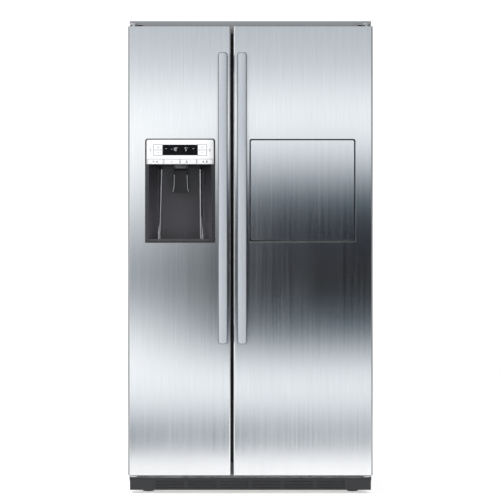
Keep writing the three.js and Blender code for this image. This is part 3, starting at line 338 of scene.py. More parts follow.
class Finish:
    """A node material around one Principled shader, in the object's own coordinates."""

    def __init__(self, name, **uniform):
        self.material = bpy.data.materials.new(name)
        self.material.use_nodes = True
        self.tree = self.material.node_tree
        self.link = self.tree.links.new
        self.shader = fill(self.tree.nodes["Principled BSDF"], **uniform)
        self.coordinates = add(self.tree, "TexCoord").outputs["Object"]

    def noise(self, scale, stretch=(1, 1, 1), detail=3.0, rough=0.5):
        mapping = add(self.tree, "Mapping", Scale=stretch)
        self.link(self.coordinates, mapping.inputs["Vector"])
        texture = add(self.tree, "TexNoise", Scale=scale, Detail=detail, Roughness=rough)
        self.link(mapping.outputs["Vector"], texture.inputs["Vector"])
        return texture.outputs["Fac"]

    def spread(self, source, low, high, start=0.3, end=0.7):
        """The source's range from start to end, mapped to low to high."""
        ranged = add(self.tree, "MapRange", From_Min=start, From_Max=end, To_Min=low, To_Max=high)
        self.link(source, ranged.inputs["Value"])
        return ranged.outputs["Result"]

    def mixed(self, factor, first, second, blend="MIX"):
        """Two colours mixed by a factor; each is a colour or a socket."""
        mix = add(self.tree, "Mix")
        mix.data_type, mix.blend_type = "RGBA", blend
        for source, socket in ((first, mix.inputs["A"]), (second, mix.inputs["B"])):
            if isinstance(source, tuple):
                socket.default_value = (*source, 1)
            else:
                self.link(source, socket)
        if isinstance(factor, (int, float)):
            mix.inputs["Factor"].default_value = factor
        else:
            self.link(factor, mix.inputs["Factor"])
        return mix.outputs["Result"]

    def colour(self, source):
        self.link(source, self.shader.inputs["Base Color"])

    def tinted(self, source, colour, low, high):
        """A base colour that wanders between two shades of one colour."""
        self.colour(self.mixed(self.spread(source, 0, 1), shade(colour, low), shade(colour, high)))

    def roughness(self, source, low, high, start=0.3, end=0.7):
        self.link(self.spread(source, low, high, start, end), self.shader.inputs["Roughness"])

    def bump(self, source, height, strength=1.0):
        """A bump whose full height is in millimetres."""
        made = add(self.tree, "Bump", Strength=strength, Distance=height * MM)
        self.link(source, made.inputs["Height"])
        self.link(made.outputs["Normal"], self.shader.inputs["Normal"])


def shade(colour, factor):
    return tuple(min(1.0, c * factor) for c in colour)


def brushed_steel(name, colour):
    """Stainless sheet with fine upright brushing: long thin streaks in colour, gloss and height."""
    steel = Finish(name, Metallic=1.0, Anisotropic=0.72)
    fine = steel.noise(1500, (1, 1, 0.004), detail=2)
    coarse = steel.noise(150, (1, 1, 0.012), detail=4, rough=0.6)
    cloud = steel.noise(3.0, (1, 1, 0.6), detail=2)
    streaks = steel.mixed(steel.spread(fine, 0, 1), shade(colour, 0.94), shade(colour, 1.05))
    bands = steel.mixed(steel.spread(coarse, 0, 1), (0.955, 0.955, 0.957), (1.0, 1.0, 1.0))
    steel.colour(steel.mixed(1.0, streaks, bands, "MULTIPLY"))
    gloss = steel.mixed(0.5, steel.spread(coarse, 0.17, 0.24), steel.spread(cloud, 0.18, 0.23))
    steel.link(gloss, steel.shader.inputs["Roughness"])
    steel.bump(fine, 0.012, 0.5)
    return steel.material


def satin_aluminium(name, colour, roughness=0.42, metallic=1.0):
    """Anodised extrusion: a fine blasted grain with faint drawing lines along its length."""
    metal = Finish(name, Metallic=metallic, Anisotropic=0.3)
    grain = metal.noise(2600, detail=2)
    lines = metal.noise(700, (1, 1, 0.01), detail=3)
    metal.tinted(lines, colour, 0.95, 1.04)
    metal.roughness(grain, roughness - 0.05, roughness + 0.06)
    metal.bump(grain, 0.01, 0.4)
    return metal.material


def painted_sheet(name, colour, roughness=0.42):
    """Powder coated sheet steel: an orange peel surface with slight unevenness of tone and gloss."""
    paint = Finish(name, Coat_Weight=0.15, Coat_Roughness=0.25)
    peel = paint.noise(420, detail=2)
    tone = paint.noise(2.2, detail=3)
    paint.tinted(tone, colour, 0.96, 1.03)
    paint.roughness(tone, roughness - 0.04, roughness + 0.05)
    paint.bump(peel, 0.05, 0.35)
    return paint.material


def moulded_plastic(name, colour, roughness=0.35, grain=900, height=0.03, specular=0.5):
    """Injection moulded plastic: a fine spark-eroded grain, and a faint flow pattern in tone and gloss."""
    plastic = Finish(name, Specular_IOR_Level=specular)
    texture = plastic.noise(grain, detail=2)
    flow = plastic.noise(7, (1, 1, 0.5), detail=3)
    plastic.tinted(flow, colour, 0.97, 1.02)
    plastic.roughness(flow, roughness - 0.05, roughness + 0.05)
    plastic.bump(texture, height, 0.3)
    return plastic.material


def plastic_with_painted_shade(name, upper, lower, top, bottom, roughness=0.3, specular=0.3):
    """Moulded plastic with painted shade: its tone deepens from one height, in metres, up to another."""
    plastic = Finish(name, Specular_IOR_Level=specular)
    split = add(plastic.tree, "SeparateXYZ")
    plastic.link(plastic.coordinates, split.inputs["Vector"])
    # painted shade: the colour runs from lower to upper by height alone
    rise = plastic.spread(split.outputs["Z"], 0, 1, bottom, top)
    flow = plastic.noise(9, (1, 1, 0.25), detail=4)
    tint = plastic.mixed(plastic.spread(flow, 0, 1), (0.90, 0.90, 0.91), (1.0, 1.0, 1.0))
    plastic.colour(plastic.mixed(1.0, plastic.mixed(rise, lower, upper), tint, "MULTIPLY"))
    plastic.roughness(flow, roughness - 0.05, roughness + 0.05)
    plastic.bump(plastic.noise(1200, detail=2), 0.015, 0.3)
    return plastic.material


def clear_moulding(name, colour, roughness=0.08, transmission=0.85):
    """Clear moulded plastic or glass, a little uneven in gloss."""
    clear = Finish(name, Transmission_Weight=transmission, IOR=1.49)
    wave = clear.noise(12, detail=2)
    clear.tinted(wave, colour, 0.98, 1)
    clear.roughness(wave, roughness * 0.7, roughness * 1.4)
    clear.bump(wave, 0.05, 0.2)
    return clear.material


def soft_rubber(name, colour):
    rubber = Finish(name, Specular_IOR_Level=0.3)
    grain = rubber.noise(1400, detail=3)
    dust = rubber.noise(40, detail=3)
    rubber.tinted(dust, colour, 0.93, 1.05)
    rubber.roughness(dust, 0.68, 0.82)
    rubber.bump(grain, 0.04, 0.4)
    return rubber.material


def zinc_sheet(name, colour):
    """Hot-dip galvanised sheet with its crystal spangle."""
    zinc = Finish(name, Metallic=1.0)
    cells = add(zinc.tree, "TexVoronoi", Scale=90)
    zinc.link(zinc.coordinates, cells.inputs["Vector"])
    split = add(zinc.tree, "SeparateColor")
    zinc.link(cells.outputs["Color"], split.inputs["Color"])
    spangle = split.outputs["Red"]
    zinc.colour(zinc.mixed(spangle, shade(colour, 0.86), shade(colour, 1.08)))
    zinc.roughness(spangle, 0.34, 0.5, 0, 1)
    zinc.bump(zinc.noise(300, detail=2), 0.02, 0.3)
    return zinc.material


def rigid_foam(name):
    foam = Finish(name, Roughness=0.95)
    cells = foam.noise(500, detail=4, rough=0.7)
    foam.colour(foam.mixed(foam.spread(cells, 0, 1), (0.62, 0.52, 0.27), (0.80, 0.72, 0.45)))
    foam.bump(cells, 0.3, 0.6)
    return foam.material


def copper_tube(name, colour):
    copper = Finish(name, Metallic=1.0)
    stain = copper.noise(55, detail=4)
    copper.tinted(stain, colour, 0.55, 1)
    copper.roughness(stain, 0.42, 0.28)
    copper.bump(copper.noise(800), 0.02, 0.3)
    return copper.material


def glossy_black(name, colour, roughness=0.06):
    """Smoked display window, with the faintest unevenness in its gloss."""
    glass = Finish(name, Specular_IOR_Level=0.03)
    wave = glass.noise(30, detail=2)
    glass.tinted(wave, colour, 0.7, 1.3)
    glass.roughness(wave, roughness * 0.7, roughness * 1.5)
    return glass.material


def lit_segment(name, colour, strength):
    """A display element behind the window, brighter where its diode sits."""
    lit = Finish(name, Roughness=0.5, Emission_Strength=strength, Base_Color=(*shade(colour, 0.6), 1))
    glow = lit.noise(500, detail=1)
    emitted = lit.mixed(lit.spread(glow, 0, 1), shade(colour, 0.8), colour)
    lit.link(emitted, lit.shader.inputs["Emission Color"])
    return lit.material


def printed_ink(name, colour):
    """Screen printed marks, a little thin in places."""
    ink = Finish(name, Roughness=0.6)
    film = ink.noise(900, detail=3)
    ink.tinted(film, colour, 1, 1.35)
    ink.bump(film, 0.01, 0.3)
    return ink.material


STEEL = brushed_steel("brushed_steel", (0.80, 0.805, 0.815))
HANDLE_METAL = satin_aluminium("handle_aluminium_satin", (0.475, 0.50, 0.54), 0.46, 0.45)
# dark rail round each handle bar, its dark colour standing in for the shade along the handle's edges: painted
# shade
HANDLE_RIM = satin_aluminium("handle_rim_dark", (0.20, 0.22, 0.25), 0.5)
DOOR_SIDE = painted_sheet("door_side_paint", (0.135, 0.142, 0.152), 0.4)
CABINET_PAINT = painted_sheet("cabinet_grey_paint", (0.235, 0.245, 0.26), 0.42)
WHITE = moulded_plastic("white_liner", (0.70, 0.71, 0.715), 0.32)
PANEL = moulded_plastic("panel_white", (0.80, 0.81, 0.82), 0.45, grain=1500, height=0.012, specular=0.3)
# the niche's charcoal deepens towards its ceiling: painted shade under the control panel's overhang
NICHE = plastic_with_painted_shade("niche_charcoal_painted_shade", (0.020, 0.020, 0.023), (0.066, 0.063, 0.071), 1.226, 1.0, 0.28, 0.35)
NICHE_TRIM = moulded_plastic("niche_trim", (0.050, 0.049, 0.053), 0.3, grain=1200, height=0.015)
PADDLE = moulded_plastic("paddle_black", (0.017, 0.017, 0.019), 0.4, grain=1200, height=0.015, specular=0.25)
FLANGE = moulded_plastic(
    "dispenser_frame", (0.035, 0.035, 0.038), 0.4, grain=1200, height=0.015, specular=0.3,
)
RIB = satin_aluminium("niche_rib_satin", (0.66, 0.65, 0.68), 0.4)
BLACK = moulded_plastic("black_moulding", (0.018, 0.018, 0.02), 0.45)
# near black, darker than the other black plastic, so the home bar's recess reads as deep shade: a dark lining
# with painted shade
GROOVE = moulded_plastic("groove_black", (0.004, 0.0045, 0.005), 0.6, grain=1200, specular=0.05)
CLEAR = clear_moulding("clear_crisper", (0.93, 0.96, 0.97))
GLASS = clear_moulding("shelf_glass_clear", (0.86, 0.95, 0.93), 0.02, 0.95)
SHELF_TRIM = satin_aluminium("shelf_trim_silver", (0.70, 0.72, 0.74), 0.35)
RUBBER = soft_rubber("gasket_grey", (0.30, 0.31, 0.32))
ZINC = zinc_sheet("galvanised_spangle", (0.62, 0.64, 0.65))
FOAM = rigid_foam("insulation_foam_cells")
COPPER = copper_tube("copper_condenser", (0.72, 0.36, 0.22))
COIL = satin_aluminium("evaporator_fins", (0.70, 0.72, 0.74), 0.4)
COMPRESSOR = painted_sheet("compressor_black", (0.016, 0.016, 0.018), 0.3)
DISPLAY_GLASS = glossy_black("display_window", (0.006, 0.006, 0.007))
DIGITS = lit_segment("display_digits", (0.80, 0.85, 0.92), 0.5)
INK = printed_ink("printed_marks", (0.05, 0.052, 0.056))
LINE_INK = printed_ink("printed_outlines", (0.22, 0.23, 0.25))
LAMP = lit_segment("lamp_diffuser", (0.96, 0.97, 0.93), 0.35)

# ------------ doors

# how far a cutter reaches past what it cuts, and the width of paint seen from the front
PAST = 20
PAINTED_EDGE = 5.2


def fold(door, by, back):
    """A door skin's plan, drawn inset by some thickness."""
    left, right = door[0] + by, door[1] - by
    front, radius = DOOR_FRONT + by, EDGE_ROUND - by
    points = [(left, back)]
    points += arc(left + radius, front + radius, radius, 180, 270, 10)
    points += arc(right - radius, front + radius, radius, 270, 360, 10)
    points.append((right, back))
    return points


def door_skin(name, door, hinge, opening):
    """Steel front wrapped round both edges; the outer edge and side are painted."""
    shell = prism("z", fold(door, 0, DOOR_BACK), DOOR_BOTTOM, DOOR_TOP)
    inner = prism("z", fold(door, SKIN, DOOR_BACK + PAST), DOOR_BOTTOM - PAST, DOOR_TOP + PAST)
    hole = prism("y", opening, DOOR_FRONT - PAST, DOOR_FRONT + PAST)
    bm = soften(carved(shell, [inner, hole]), 0.35, 2, angle=40)
    obj = piece(name + "_door_panel", bm, STEEL, name + "_door", [name + "_door_skin"])
    obj.data.materials.append(DOOR_SIDE)
    for face in obj.data.polygons:
        if SIDE - hinge * face.center.x / MM < PAINTED_EDGE:
            face.material_index = 1


def bar_outline(by=0):
    """The home bar recess, drawn inset by some width."""
    return rounded(inset(BAR, by), BAR_CORNERS[0] - by, BAR_CORNERS[1] - by)


door_skin("freezer", FREEZER_DOOR, -1, rounded(inset(DISPENSER, -DISPENSER_GAP), *DISPENSER_CORNERS))
door_skin("fridge", FRIDGE_DOOR, 1, bar_outline())
for room in ("freezer", "fridge"):
    refined(room + "_door_liner", WHITE, room + "_door", 2.5, 3)
    refined(room + "_door_gasket", RUBBER, room + "_door", 3.0, 3)


# ------------ handles


def handle_section(half, crown, back, lip):
    """Half-round front with short sides, as (x, y) from one rear edge round to the other."""
    steps = 18
    points = []
    for i in range(steps + 1):
        angle = math.pi * i / steps
        x = -half * math.cos(angle)
        points.append((x, crown - (crown - lip) * math.sin(angle) ** 0.8))
    return [(-half + 0.8, back), *points, (half - 0.8, back)]


def bow(z):
    """How far a handle lies behind its foremost level, at some height."""
    middle = (HANDLE_BOTTOM + HANDLE_TOP) / 2
    return HANDLE_BOW * ((z - middle) / (HANDLE_TOP - middle)) ** 2


def bar(half, front, crown, back, low, high, corner):
    """A long bar along Z, bowed forward in its middle, with the corners of its outline rounded."""
    corner_steps, straight_steps = 8, 28
    turns = [math.pi / 2 * i / corner_steps for i in range(corner_steps + 1)]
    straight = high - low - 2 * corner
    levels = [low + corner * (1 - math.cos(turn)) for turn in turns]
    levels += [low + corner + straight * i / straight_steps for i in range(1, straight_steps)]
    levels += [high - corner * (1 - math.sin(turn)) for turn in turns]
    rings = []
    for z in levels:
        reach = min(corner, z - low, high - z)
        narrow = corner - math.sqrt(max(0.0, corner ** 2 - (corner - reach) ** 2))
        scale = (half - 0.97 * narrow) / half
        section = handle_section(half, crown, back, front)
        rings.append([(x * scale, y + bow(z), z) for x, y in section])
    return rings_solid(rings)


def handle(room):
    """A bowed aluminium bar on a dark rail, held off its door by two posts with feet; the rail's dark colour
    is painted shade round the bar's edges.
    """
    rim_width = 2.4
    post_half, post_length, post_inset, foot_lip = 11, 50, 12, 2
    face = bar(HANDLE_HALF - rim_width, HANDLE_FRONT, HANDLE_FRONT + 6.5, HANDLE_FRONT + 9,
               HANDLE_BOTTOM + rim_width, HANDLE_TOP - rim_width, 8)
    rim = bar(HANDLE_HALF, HANDLE_FRONT + 7.5, HANDLE_FRONT + 8.5, HANDLE_FRONT + HANDLE_THICK,
              HANDLE_BOTTOM, HANDLE_TOP, 10)
    posts = []
    for low in (HANDLE_BOTTOM + post_inset, HANDLE_TOP - post_inset - post_length):
        area = (-post_half, low, post_half, low + post_length)
        post = prism("y", rounded(area, 8), HANDLE_FRONT + HANDLE_BOW + 8, DOOR_FRONT - 0.2)
        foot = prism("y", rounded(inset(area, -foot_lip), 10), DOOR_FRONT - 2.2, DOOR_FRONT - 0.1)
        posts += [soften(post, 1.2, 3, 60), soften(foot, 0.8, 2, 60)]
    for bm in (face, rim, *posts):
        bmesh.ops.translate(bm, vec=(HANDLE_X[room], 0, 0), verts=bm.verts)
    name, body = room + "_handle", room + "_door"
    piece(name + "_bar", face, HANDLE_METAL, body, [name], smooth=50)
    piece(name + "_rail", rim, HANDLE_RIM, body, smooth=50)
    piece(name + "_posts", merged(posts), HANDLE_METAL, body)


handle("freezer")
handle("fridge")

# ------------ dispenser



def niche_plan(back_half, front_half, front, back, fillet):
    """Plan of the niche, its rear corners rounded, from the left front corner round to the right."""
    turn = math.degrees(math.atan2(back - front, front_half - back_half))
    reach = fillet / math.tan(math.radians((180 - turn) / 2))
    left = arc(-back_half + reach, back - fillet, fillet, 90 + turn, 90, 8)
    right = [(-x, y) for x, y in reversed(left)]
    return [(x + DISPENSER_X, y) for x, y in [(-front_half, front), *left, *right, (front_half, front)]]


def niche_hollow(grow, low, high, front):
    """The niche's solid, a little wider at its foot than at its top."""
    rings = []
    for z in (low, high):
        part = (z - NICHE_FLOOR) / (NICHE_CEILING - NICHE_FLOOR)
        back_half = NICHE_FOOT_HALF + (NICHE_TOP_HALF - NICHE_FOOT_HALF) * part + grow
        plan = niche_plan(back_half, NICHE_FRONT_HALF + grow, front, NICHE_BACK + grow, NICHE_FILLET + grow)
        rings.append([(x, y, z) for x, y in plan])
    return rings_solid(rings)


def panel_block(grow, front, back, low):
    """The room behind the control panel, or the walls about it."""
    half = PANEL_HALF + grow
    return box((DISPENSER_X - half, front, low), (DISPENSER_X + half, back, PANEL_TOP + grow))


def dispenser_housing():
    """Frame, niche and the room behind the panel in one moulding, its frame a little paler."""
    frame_edge = DOOR_FRONT + 0.5
    flange = prism("y", rounded(DISPENSER, *DISPENSER_CORNERS), DOOR_FRONT - 1.5, DOOR_FRONT + 5)
    shell = niche_hollow(HOUSING_WALL, DISPENSER[1] + 2, NICHE_CEILING + 3, DOOR_FRONT + 2)
    pocket = panel_block(HOUSING_WALL, DOOR_FRONT + 2, DOOR_FRONT + 33, NICHE_CEILING - 2)
    body = fused(flange, [shell, pocket])
    hollow = niche_hollow(0, NICHE_FLOOR, NICHE_CEILING, DOOR_FRONT - PAST)
    room = panel_block(0.3, DOOR_FRONT - PAST, DOOR_FRONT + 28, NICHE_CEILING + 1)
    body = carved(body, [hollow, room])
    soften(body, 0.7, 3, chosen=edges_within(DOOR_FRONT + 1))
    name, node = "dispenser_surround", "dispenser_housing"
    obj = piece(name, body, NICHE, "freezer_door", [node], smooth=40)
    obj.data.materials.append(FLANGE)
    for face in obj.data.polygons:
        if face.center.y < frame_edge * MM:
            face.material_index = 1


def niche_ribs():
    """Slim satin strips down both rear corners of the niche, leaning out towards its foot."""
    radius, depth = 3.0, NICHE_BACK - 11
    foot, top = NICHE_FLOOR + 9.5, NICHE_CEILING - 14
    for (label, side), top_x, foot_x in zip(SIDES, (72, 73), (79, 75)):
        rings = [
            oval(DISPENSER_X + side * reach, depth, z, radius, radius, 24)
            for z, reach in ((foot, foot_x), (top, top_x))
        ]
        strip = soften(rings_solid(rings), 0.8, 2, 60)
        piece(f"niche_rib_{label}", strip, RIB, "freezer_door", smooth=60)


def ice_spout():
    """Oval nozzle under the niche's ceiling, open below."""
    middle = -255
    sections = (
        (31, 21, NICHE_CEILING - 0.3), (30.5, 20.5, 1219), (28, 18, 1214.5), (26, 16.5, 1213),
        (23.5, 14, 1213.5), (22.5, 13, 1216), (22.5, 13, NICHE_CEILING - 1),
    )
    rings = [oval(DISPENSER_X, middle, z, half_x, half_y, 40) for half_x, half_y, z in sections]
    piece("ice_spout", rings_solid(rings), NICHE_TRIM, "freezer_door", smooth=50)


# (height, half width) from the paddle's pin down to its flared foot
PADDLE_SECTIONS = (
    (1204, 25), (1190, 25.5), (1170, 26), (1154, 26.5),
    (1144, 27.2), (1136, 28.4), (1130, 29.8), (1126.4, 30.6),
)
PADDLE_FRONT = -248
PADDLE_BACK = -243.2


def blade_plan(half):
    """Dished plan of the blade, with a raised rib along both edges."""
    left = [
        (-half, PADDLE_BACK), (-half, PADDLE_FRONT + 1), (-half + 0.8, PADDLE_FRONT),
        (-half + 2.4, PADDLE_FRONT), (-half + 3.2, PADDLE_FRONT + 1.6), (-half / 2, PADDLE_FRONT + 2.4),
    ]
    right = [(-x, y) for x, y in reversed(left)]
    return [*left, (0, PADDLE_FRONT + 2.8), *right]


def paddle():
    """Dispensing paddle: a dished blade on a pin, with bright edges."""
    blade = rings_solid([
        [(DISPENSER_X + x, y, z) for x, y in blade_plan(half)] for z, half in PADDLE_SECTIONS
    ])
    pin_centre = (DISPENSER_X, PADDLE_FRONT + 1, PADDLE_SECTIONS[0][0])
    pin = turned([(3.8, -27), (4.5, -26.3), (4.5, 26.3), (3.8, 27)], pin_centre, "x", 24)
    soften(blade, 0.5, 2, 50)
    whole = merged([blade, pin])
    piece("paddle_blade", whole, PADDLE, "dispenser_paddle", ["dispenser_paddle"])
    base, face = PADDLE_FRONT - 0.1, PADDLE_FRONT - 0.7
    for label, side in SIDES:
        rings = []
        for z, half in PADDLE_SECTIONS[1:]:
            x = DISPENSER_X + side * (half - 1.6)
            rings.append([(x - 0.9, base, z), (x + 0.9, base, z), (x + 0.7, face, z), (x - 0.7, face, z)])
        piece(f"paddle_edge_{label}", rings_solid(rings), RIB, "dispenser_paddle")


dispenser_housing()
niche_ribs()
ice_spout()
paddle()
refined("drip_tray", NICHE_TRIM, "freezer_door", 0.8, 2)


# ------------ control panel


def control_panel():
    """White fascia with openings for the keys, and a black window in a shallow seat."""
    openings = [(about(x, KEY_HALF, KEY_ROW), 1.5) for x in KEY_CENTRES]
    openings += [(about(DISPENSER_X + side * ROCKER_OFFSET, ROCKER_HALF, DISPLAY), 2) for _, side in SIDES]
    cutters = []
    for area, corner in openings:
        outline = rounded(inset(area, -KEY_GAP), corner, steps=3)
        cutters.append(prism("y", outline, PANEL_FRONT - PAST, PANEL_FRONT + PAST))
    window = about(DISPENSER_X, DISPLAY_HALF, DISPLAY)
    cutters.append(prism("y", rounded(window, 1, steps=2), PANEL_FRONT - PAST, PANEL_FRONT + 1.5))
    face = rounded(about(DISPENSER_X, PANEL_HALF, (PANEL_BOTTOM, PANEL_TOP)), 6, 1)
    bm = carved(prism("y", face, PANEL_FRONT, PANEL_FRONT + 6), cutters)
    soften(bm, 0.35, 2, chosen=edges_within(PANEL_FRONT + 0.01))
    piece("panel_fascia", bm, PANEL, "freezer_door", ["control_panel"])
    pane = rounded(inset(window, 0.3), 0.8, steps=2)
    glass = soften(prism("y", pane, PANEL_FRONT + WINDOW_DEPTH, PANEL_FRONT + 1.4), 0.2, 2)
    piece("display_window_glass", glass, DISPLAY_GLASS, "freezer_door")


PRINT = 0.12
MARK_LINE = 1.2


def flat(outline, front):
    """A printed mark: a thin raised film with its face just proud of a surface."""
    return prism("y", outline, front - PRINT, front + 0.05)


def stroke(x0, z0, x1, z1, width=MARK_LINE):
    """Outline of a straight stroke between two points."""
    along = Vector((x1 - x0, z1 - z0)).normalized()
    across = Vector((-along.y, along.x)) * width / 2
    return [
        (x0 + across.x, z0 + across.y), (x1 + across.x, z1 + across.y),
        (x1 - across.x, z1 - across.y), (x0 - across.x, z0 - across.y),
    ]


def disc(x, z, radius, steps=14):
    return arc(x, z, radius, 0, 360 - 360 / steps, steps - 1)


def plus(x, z, size):
    upper = stroke(x, z + 0.6, x, z + size)
    lower = stroke(x, z - size, x, z - 0.6)
    return [stroke(x - size, z, x + size, z), lower, upper]


def minus(x, z, size):
    return [stroke(x - size, z, x + size, z)]


def flake(x, z, size):
    marks = []
    for i in range(6):
        angle = math.pi / 3 * i
        c, s = math.cos(angle), math.sin(angle)
        marks.append(stroke(x + 0.5 * c, z + 0.5 * s, x + size * c, z + size * s, 1.0))
    return marks


def drop(x, z, size):
    points = arc(x, z - size * 0.25, size * 0.62, -210, 30, 12)
    return [[*points, (x, z + size)]]


def square(x, z, half):
    return [(x - half, z - half), (x + half, z - half), (x + half, z + half), (x - half, z + half)]


def cubes(x, z, size):
    corners = ((-0.55, -0.5), (0.55, -0.5), (0, 0.55))
    return [square(x + dx * size, z + dz * size, size * 0.42) for dx, dz in corners]


def crushed(x, z, size):
    marks = []
    for i in range(7):
        angle = 2.4 * i
        reach = size * 0.36 * math.sqrt(i)
        marks.append(disc(x + reach * math.cos(angle), z + reach * math.sin(angle), size * 0.17, 6))
    return marks


def lamp_mark(x, z, size):
    rays = [stroke(x, z + 0.3 * size, x, z + size, 0.5)]
    for side in (-1, 1):
        rays.append(stroke(x + side * 0.3 * size, z + 0.1 * size, x + side * size, z + 0.7 * size, 0.5))
    return [disc(x, z - 0.35 * size, size * 0.45, 12), *rays]


def marks(name, outlines, front, body, finish=INK):
    piece(name, merged([flat(o, front) for o in outlines]), finish, body, smooth=20)


def push_keys():
    """Four caps in a row, each with its symbols between two upright lines."""
    symbols = ([flake, drop], [lamp_mark], [cubes, crushed], [drop, cubes])
    z = sum(KEY_ROW) / 2
    symbol_step, symbol_size = 13, 4.4
    for i, (x, signs) in enumerate(zip(KEY_CENTRES, symbols), 1):
        node = f"push_key_{i}"
        outline = rounded(about(x, KEY_HALF, KEY_ROW), 1.5, steps=4)
        bm = soften(prism("y", outline, KEY_FRONT, KEY_FRONT + 11), 0.6, 3, 50)
        piece(f"push_key_cap_{i}", bm, PANEL, node, [node])
        drawn = []
        for k, sign in enumerate(signs):
            drawn += sign(x + symbol_step * (k - (len(signs) - 1) / 2), z, symbol_size)
        marks(f"push_key_marks_{i}", drawn, KEY_FRONT, node)
        edges = [x + side * (KEY_HALF - 1.0) for _, side in SIDES]
        lines = [stroke(edge, z - 7, edge, z + 7, 0.9) for edge in edges]
        marks(f"push_key_line_{i}", lines, KEY_FRONT, node)


def temperature_keys():
    """Rockers with a plus half and a minus half, and a printed mark outside each."""
    z = sum(DISPLAY) / 2
    edge = ROCKER_HALF - 1.5
    for label, side in SIDES:
        x = DISPENSER_X + side * ROCKER_OFFSET
        node = f"temperature_key_{label}"
        outline = rounded(about(x, ROCKER_HALF, DISPLAY), 2, steps=4)
        groove = box((x - PAST, KEY_FRONT - PAST, z - 0.5), (x + PAST, KEY_FRONT + 1, z + 0.5))
        bm = soften(carved(prism("y", outline, KEY_FRONT, KEY_FRONT + 9.5), [groove]), 0.4, 2, 50)
        piece(f"{node}_cap", bm, PANEL, node, [node])
        marks(f"{node}_marks", plus(x, z + 10, 3.0) + minus(x, z - 10, 3.0), KEY_FRONT, node)
        lines = [stroke(x - edge, z + dz, x + edge, z + dz, 0.9) for dz in (-MARK_LINE, MARK_LINE)]
        marks(f"{node}_line", lines, KEY_FRONT, node, LINE_INK)
        outer = DISPENSER_X + side * 110
        drawn = flake(outer, z + 1, 3.4) + minus(outer, z - 5, 2.5)
        marks(f"side_mark_{label}", drawn, PANEL_FRONT, "freezer_door")


def frame_strokes(area, width):
    """Four strokes just outside a rectangle."""
    left, low, right, high = area
    half = width / 2
    return [
        stroke(left - width, low - half, right + width, low - half, width),
        stroke(left - width, high + half, right + width, high + half, width),
        stroke(left - half, low, left - half, high, width),
        stroke(right + half, low, right + half, high, width),
    ]


def key_outlines():
    """Printed grey lines round the temperature keys and over the push keys."""
    line, clear = 1.1, 0.3
    drawn = []
    for _, side in SIDES:
        area = about(DISPENSER_X + side * ROCKER_OFFSET, ROCKER_HALF, DISPLAY)
        drawn += frame_strokes(inset(area, -KEY_GAP - clear), line)
    top = KEY_ROW[1] + KEY_GAP + 0.9
    drawn.append(stroke(DISPENSER_X - PANEL_HALF + 1, top, DISPENSER_X + PANEL_HALF - 1, top, line))
    marks("key_outlines", drawn, PANEL_FRONT, "freezer_door", LINE_INK)


SEGMENTS = {
    "top": ((0, 2), (1, 2)), "high_left": ((0, 1), (0, 2)), "high_right": ((1, 1), (1, 2)),
    "middle": ((0, 1), (1, 1)), "low_left": ((0, 0), (0, 1)), "low_right": ((1, 0), (1, 1)),
    "bottom": ((0, 0), (1, 0)),
}
DIGIT_SEGMENTS = {
    "1": ("high_right", "low_right"),
    "5": ("top", "high_left", "middle", "low_right", "bottom"),
    "8": tuple(SEGMENTS),
    "-": ("middle",),
}


def digit(character, x, z, width=4.6, height=6.0):
    """Seven-segment strokes of a digit whose lower left corner is given."""
    drawn = []
    for key in DIGIT_SEGMENTS[character]:
        (ax, az), (bx, bz) = SEGMENTS[key]
        start, end = Vector((x + ax * width, z + az * height)), Vector((x + bx * width, z + bz * height))
        gap = (end - start).normalized() * 0.6
        start, end = start + gap, end - gap
        drawn.append(stroke(start.x, start.y, end.x, end.y, 1.0))
    return drawn


def display():
    """Two temperature readings with a degree mark, and small status marks."""
    base, pitch = 1277, 7.4
    drawn = []
    for text, x in (("-18", DISPENSER_X - 34), ("5", DISPENSER_X + 18)):
        for k, character in enumerate(text):
            drawn += digit(character, x + pitch * k, base)
        drawn.append(disc(x + pitch * len(text) + 0.6, base + 11.2, 1.1, 10))
    for x in (DISPENSER_X - 52, DISPENSER_X + 50):
        drawn.append(stroke(x - 3, base + 8, x + 3, base + 8, 0.8))
    marks("display_readings", drawn, PANEL_FRONT + WINDOW_DEPTH, "freezer_door", DIGITS)


control_panel()
push_keys()
temperature_keys()
key_outlines()
display()


# ------------ home bar


def home_bar():
    """Flap: a steel front, and behind it a moulded core with a plug and a seal."""
    slab = prism("y", rounded(FLAP, *FLAP_CORNERS), DOOR_FRONT, DOOR_FRONT + 12)
    front_edge, low_edge = DOOR_FRONT + 0.1, FLAP[1] + 0.1
    soften(slab, 0.7, 2, chosen=edges_within(front_edge, high=low_edge))
    soften(slab, 2.2, 4, chosen=edges_within(front_edge, low=low_edge + 1))
    piece("flap_panel", slab, STEEL, "home_bar_flap", ["home_bar_flap"], smooth=40)
    core = prism("y", rounded(inset(FLAP, 0.8), *FLAP_CORNERS), DOOR_FRONT + 12.1, FLAP_BACK)
    piece("flap_inner", soften(core, 1.5, 3, 50), WHITE, "home_bar_flap", smooth=40)
    hole = (BAR_HOLE[0] + 6, BAR_HOLE[1] + 8, BAR_HOLE[2] - 6, BAR_HOLE[3] - 6)
    plug = prism("y", rounded(hole, 10), FLAP_BACK + 0.05, BAR_SEAT + 8)
    well = prism("y", rounded(inset(hole, 22), 8), BAR_SEAT + 3, BAR_SEAT + PAST)
    plug = soften(carved(plug, [well]), 2.0, 3, 50)
    piece("flap_plug", plug, WHITE, "home_bar_flap", smooth=40)
    seal = (FLAP[0] + 8, FLAP[1] + 18, FLAP[2] - 8, FLAP[3] - 8)
    ring = prism("y", rounded(seal, 6), FLAP_BACK + 0.05, BAR_SEAT - 0.3)
    inside = prism("y", rounded(inset(seal, 8), 3), FLAP_BACK - PAST, BAR_SEAT + PAST)
    ring = soften(carved(ring, [inside]), 1.4, 3, 50)
    piece("flap_seal", ring, RUBBER, "home_bar_flap")


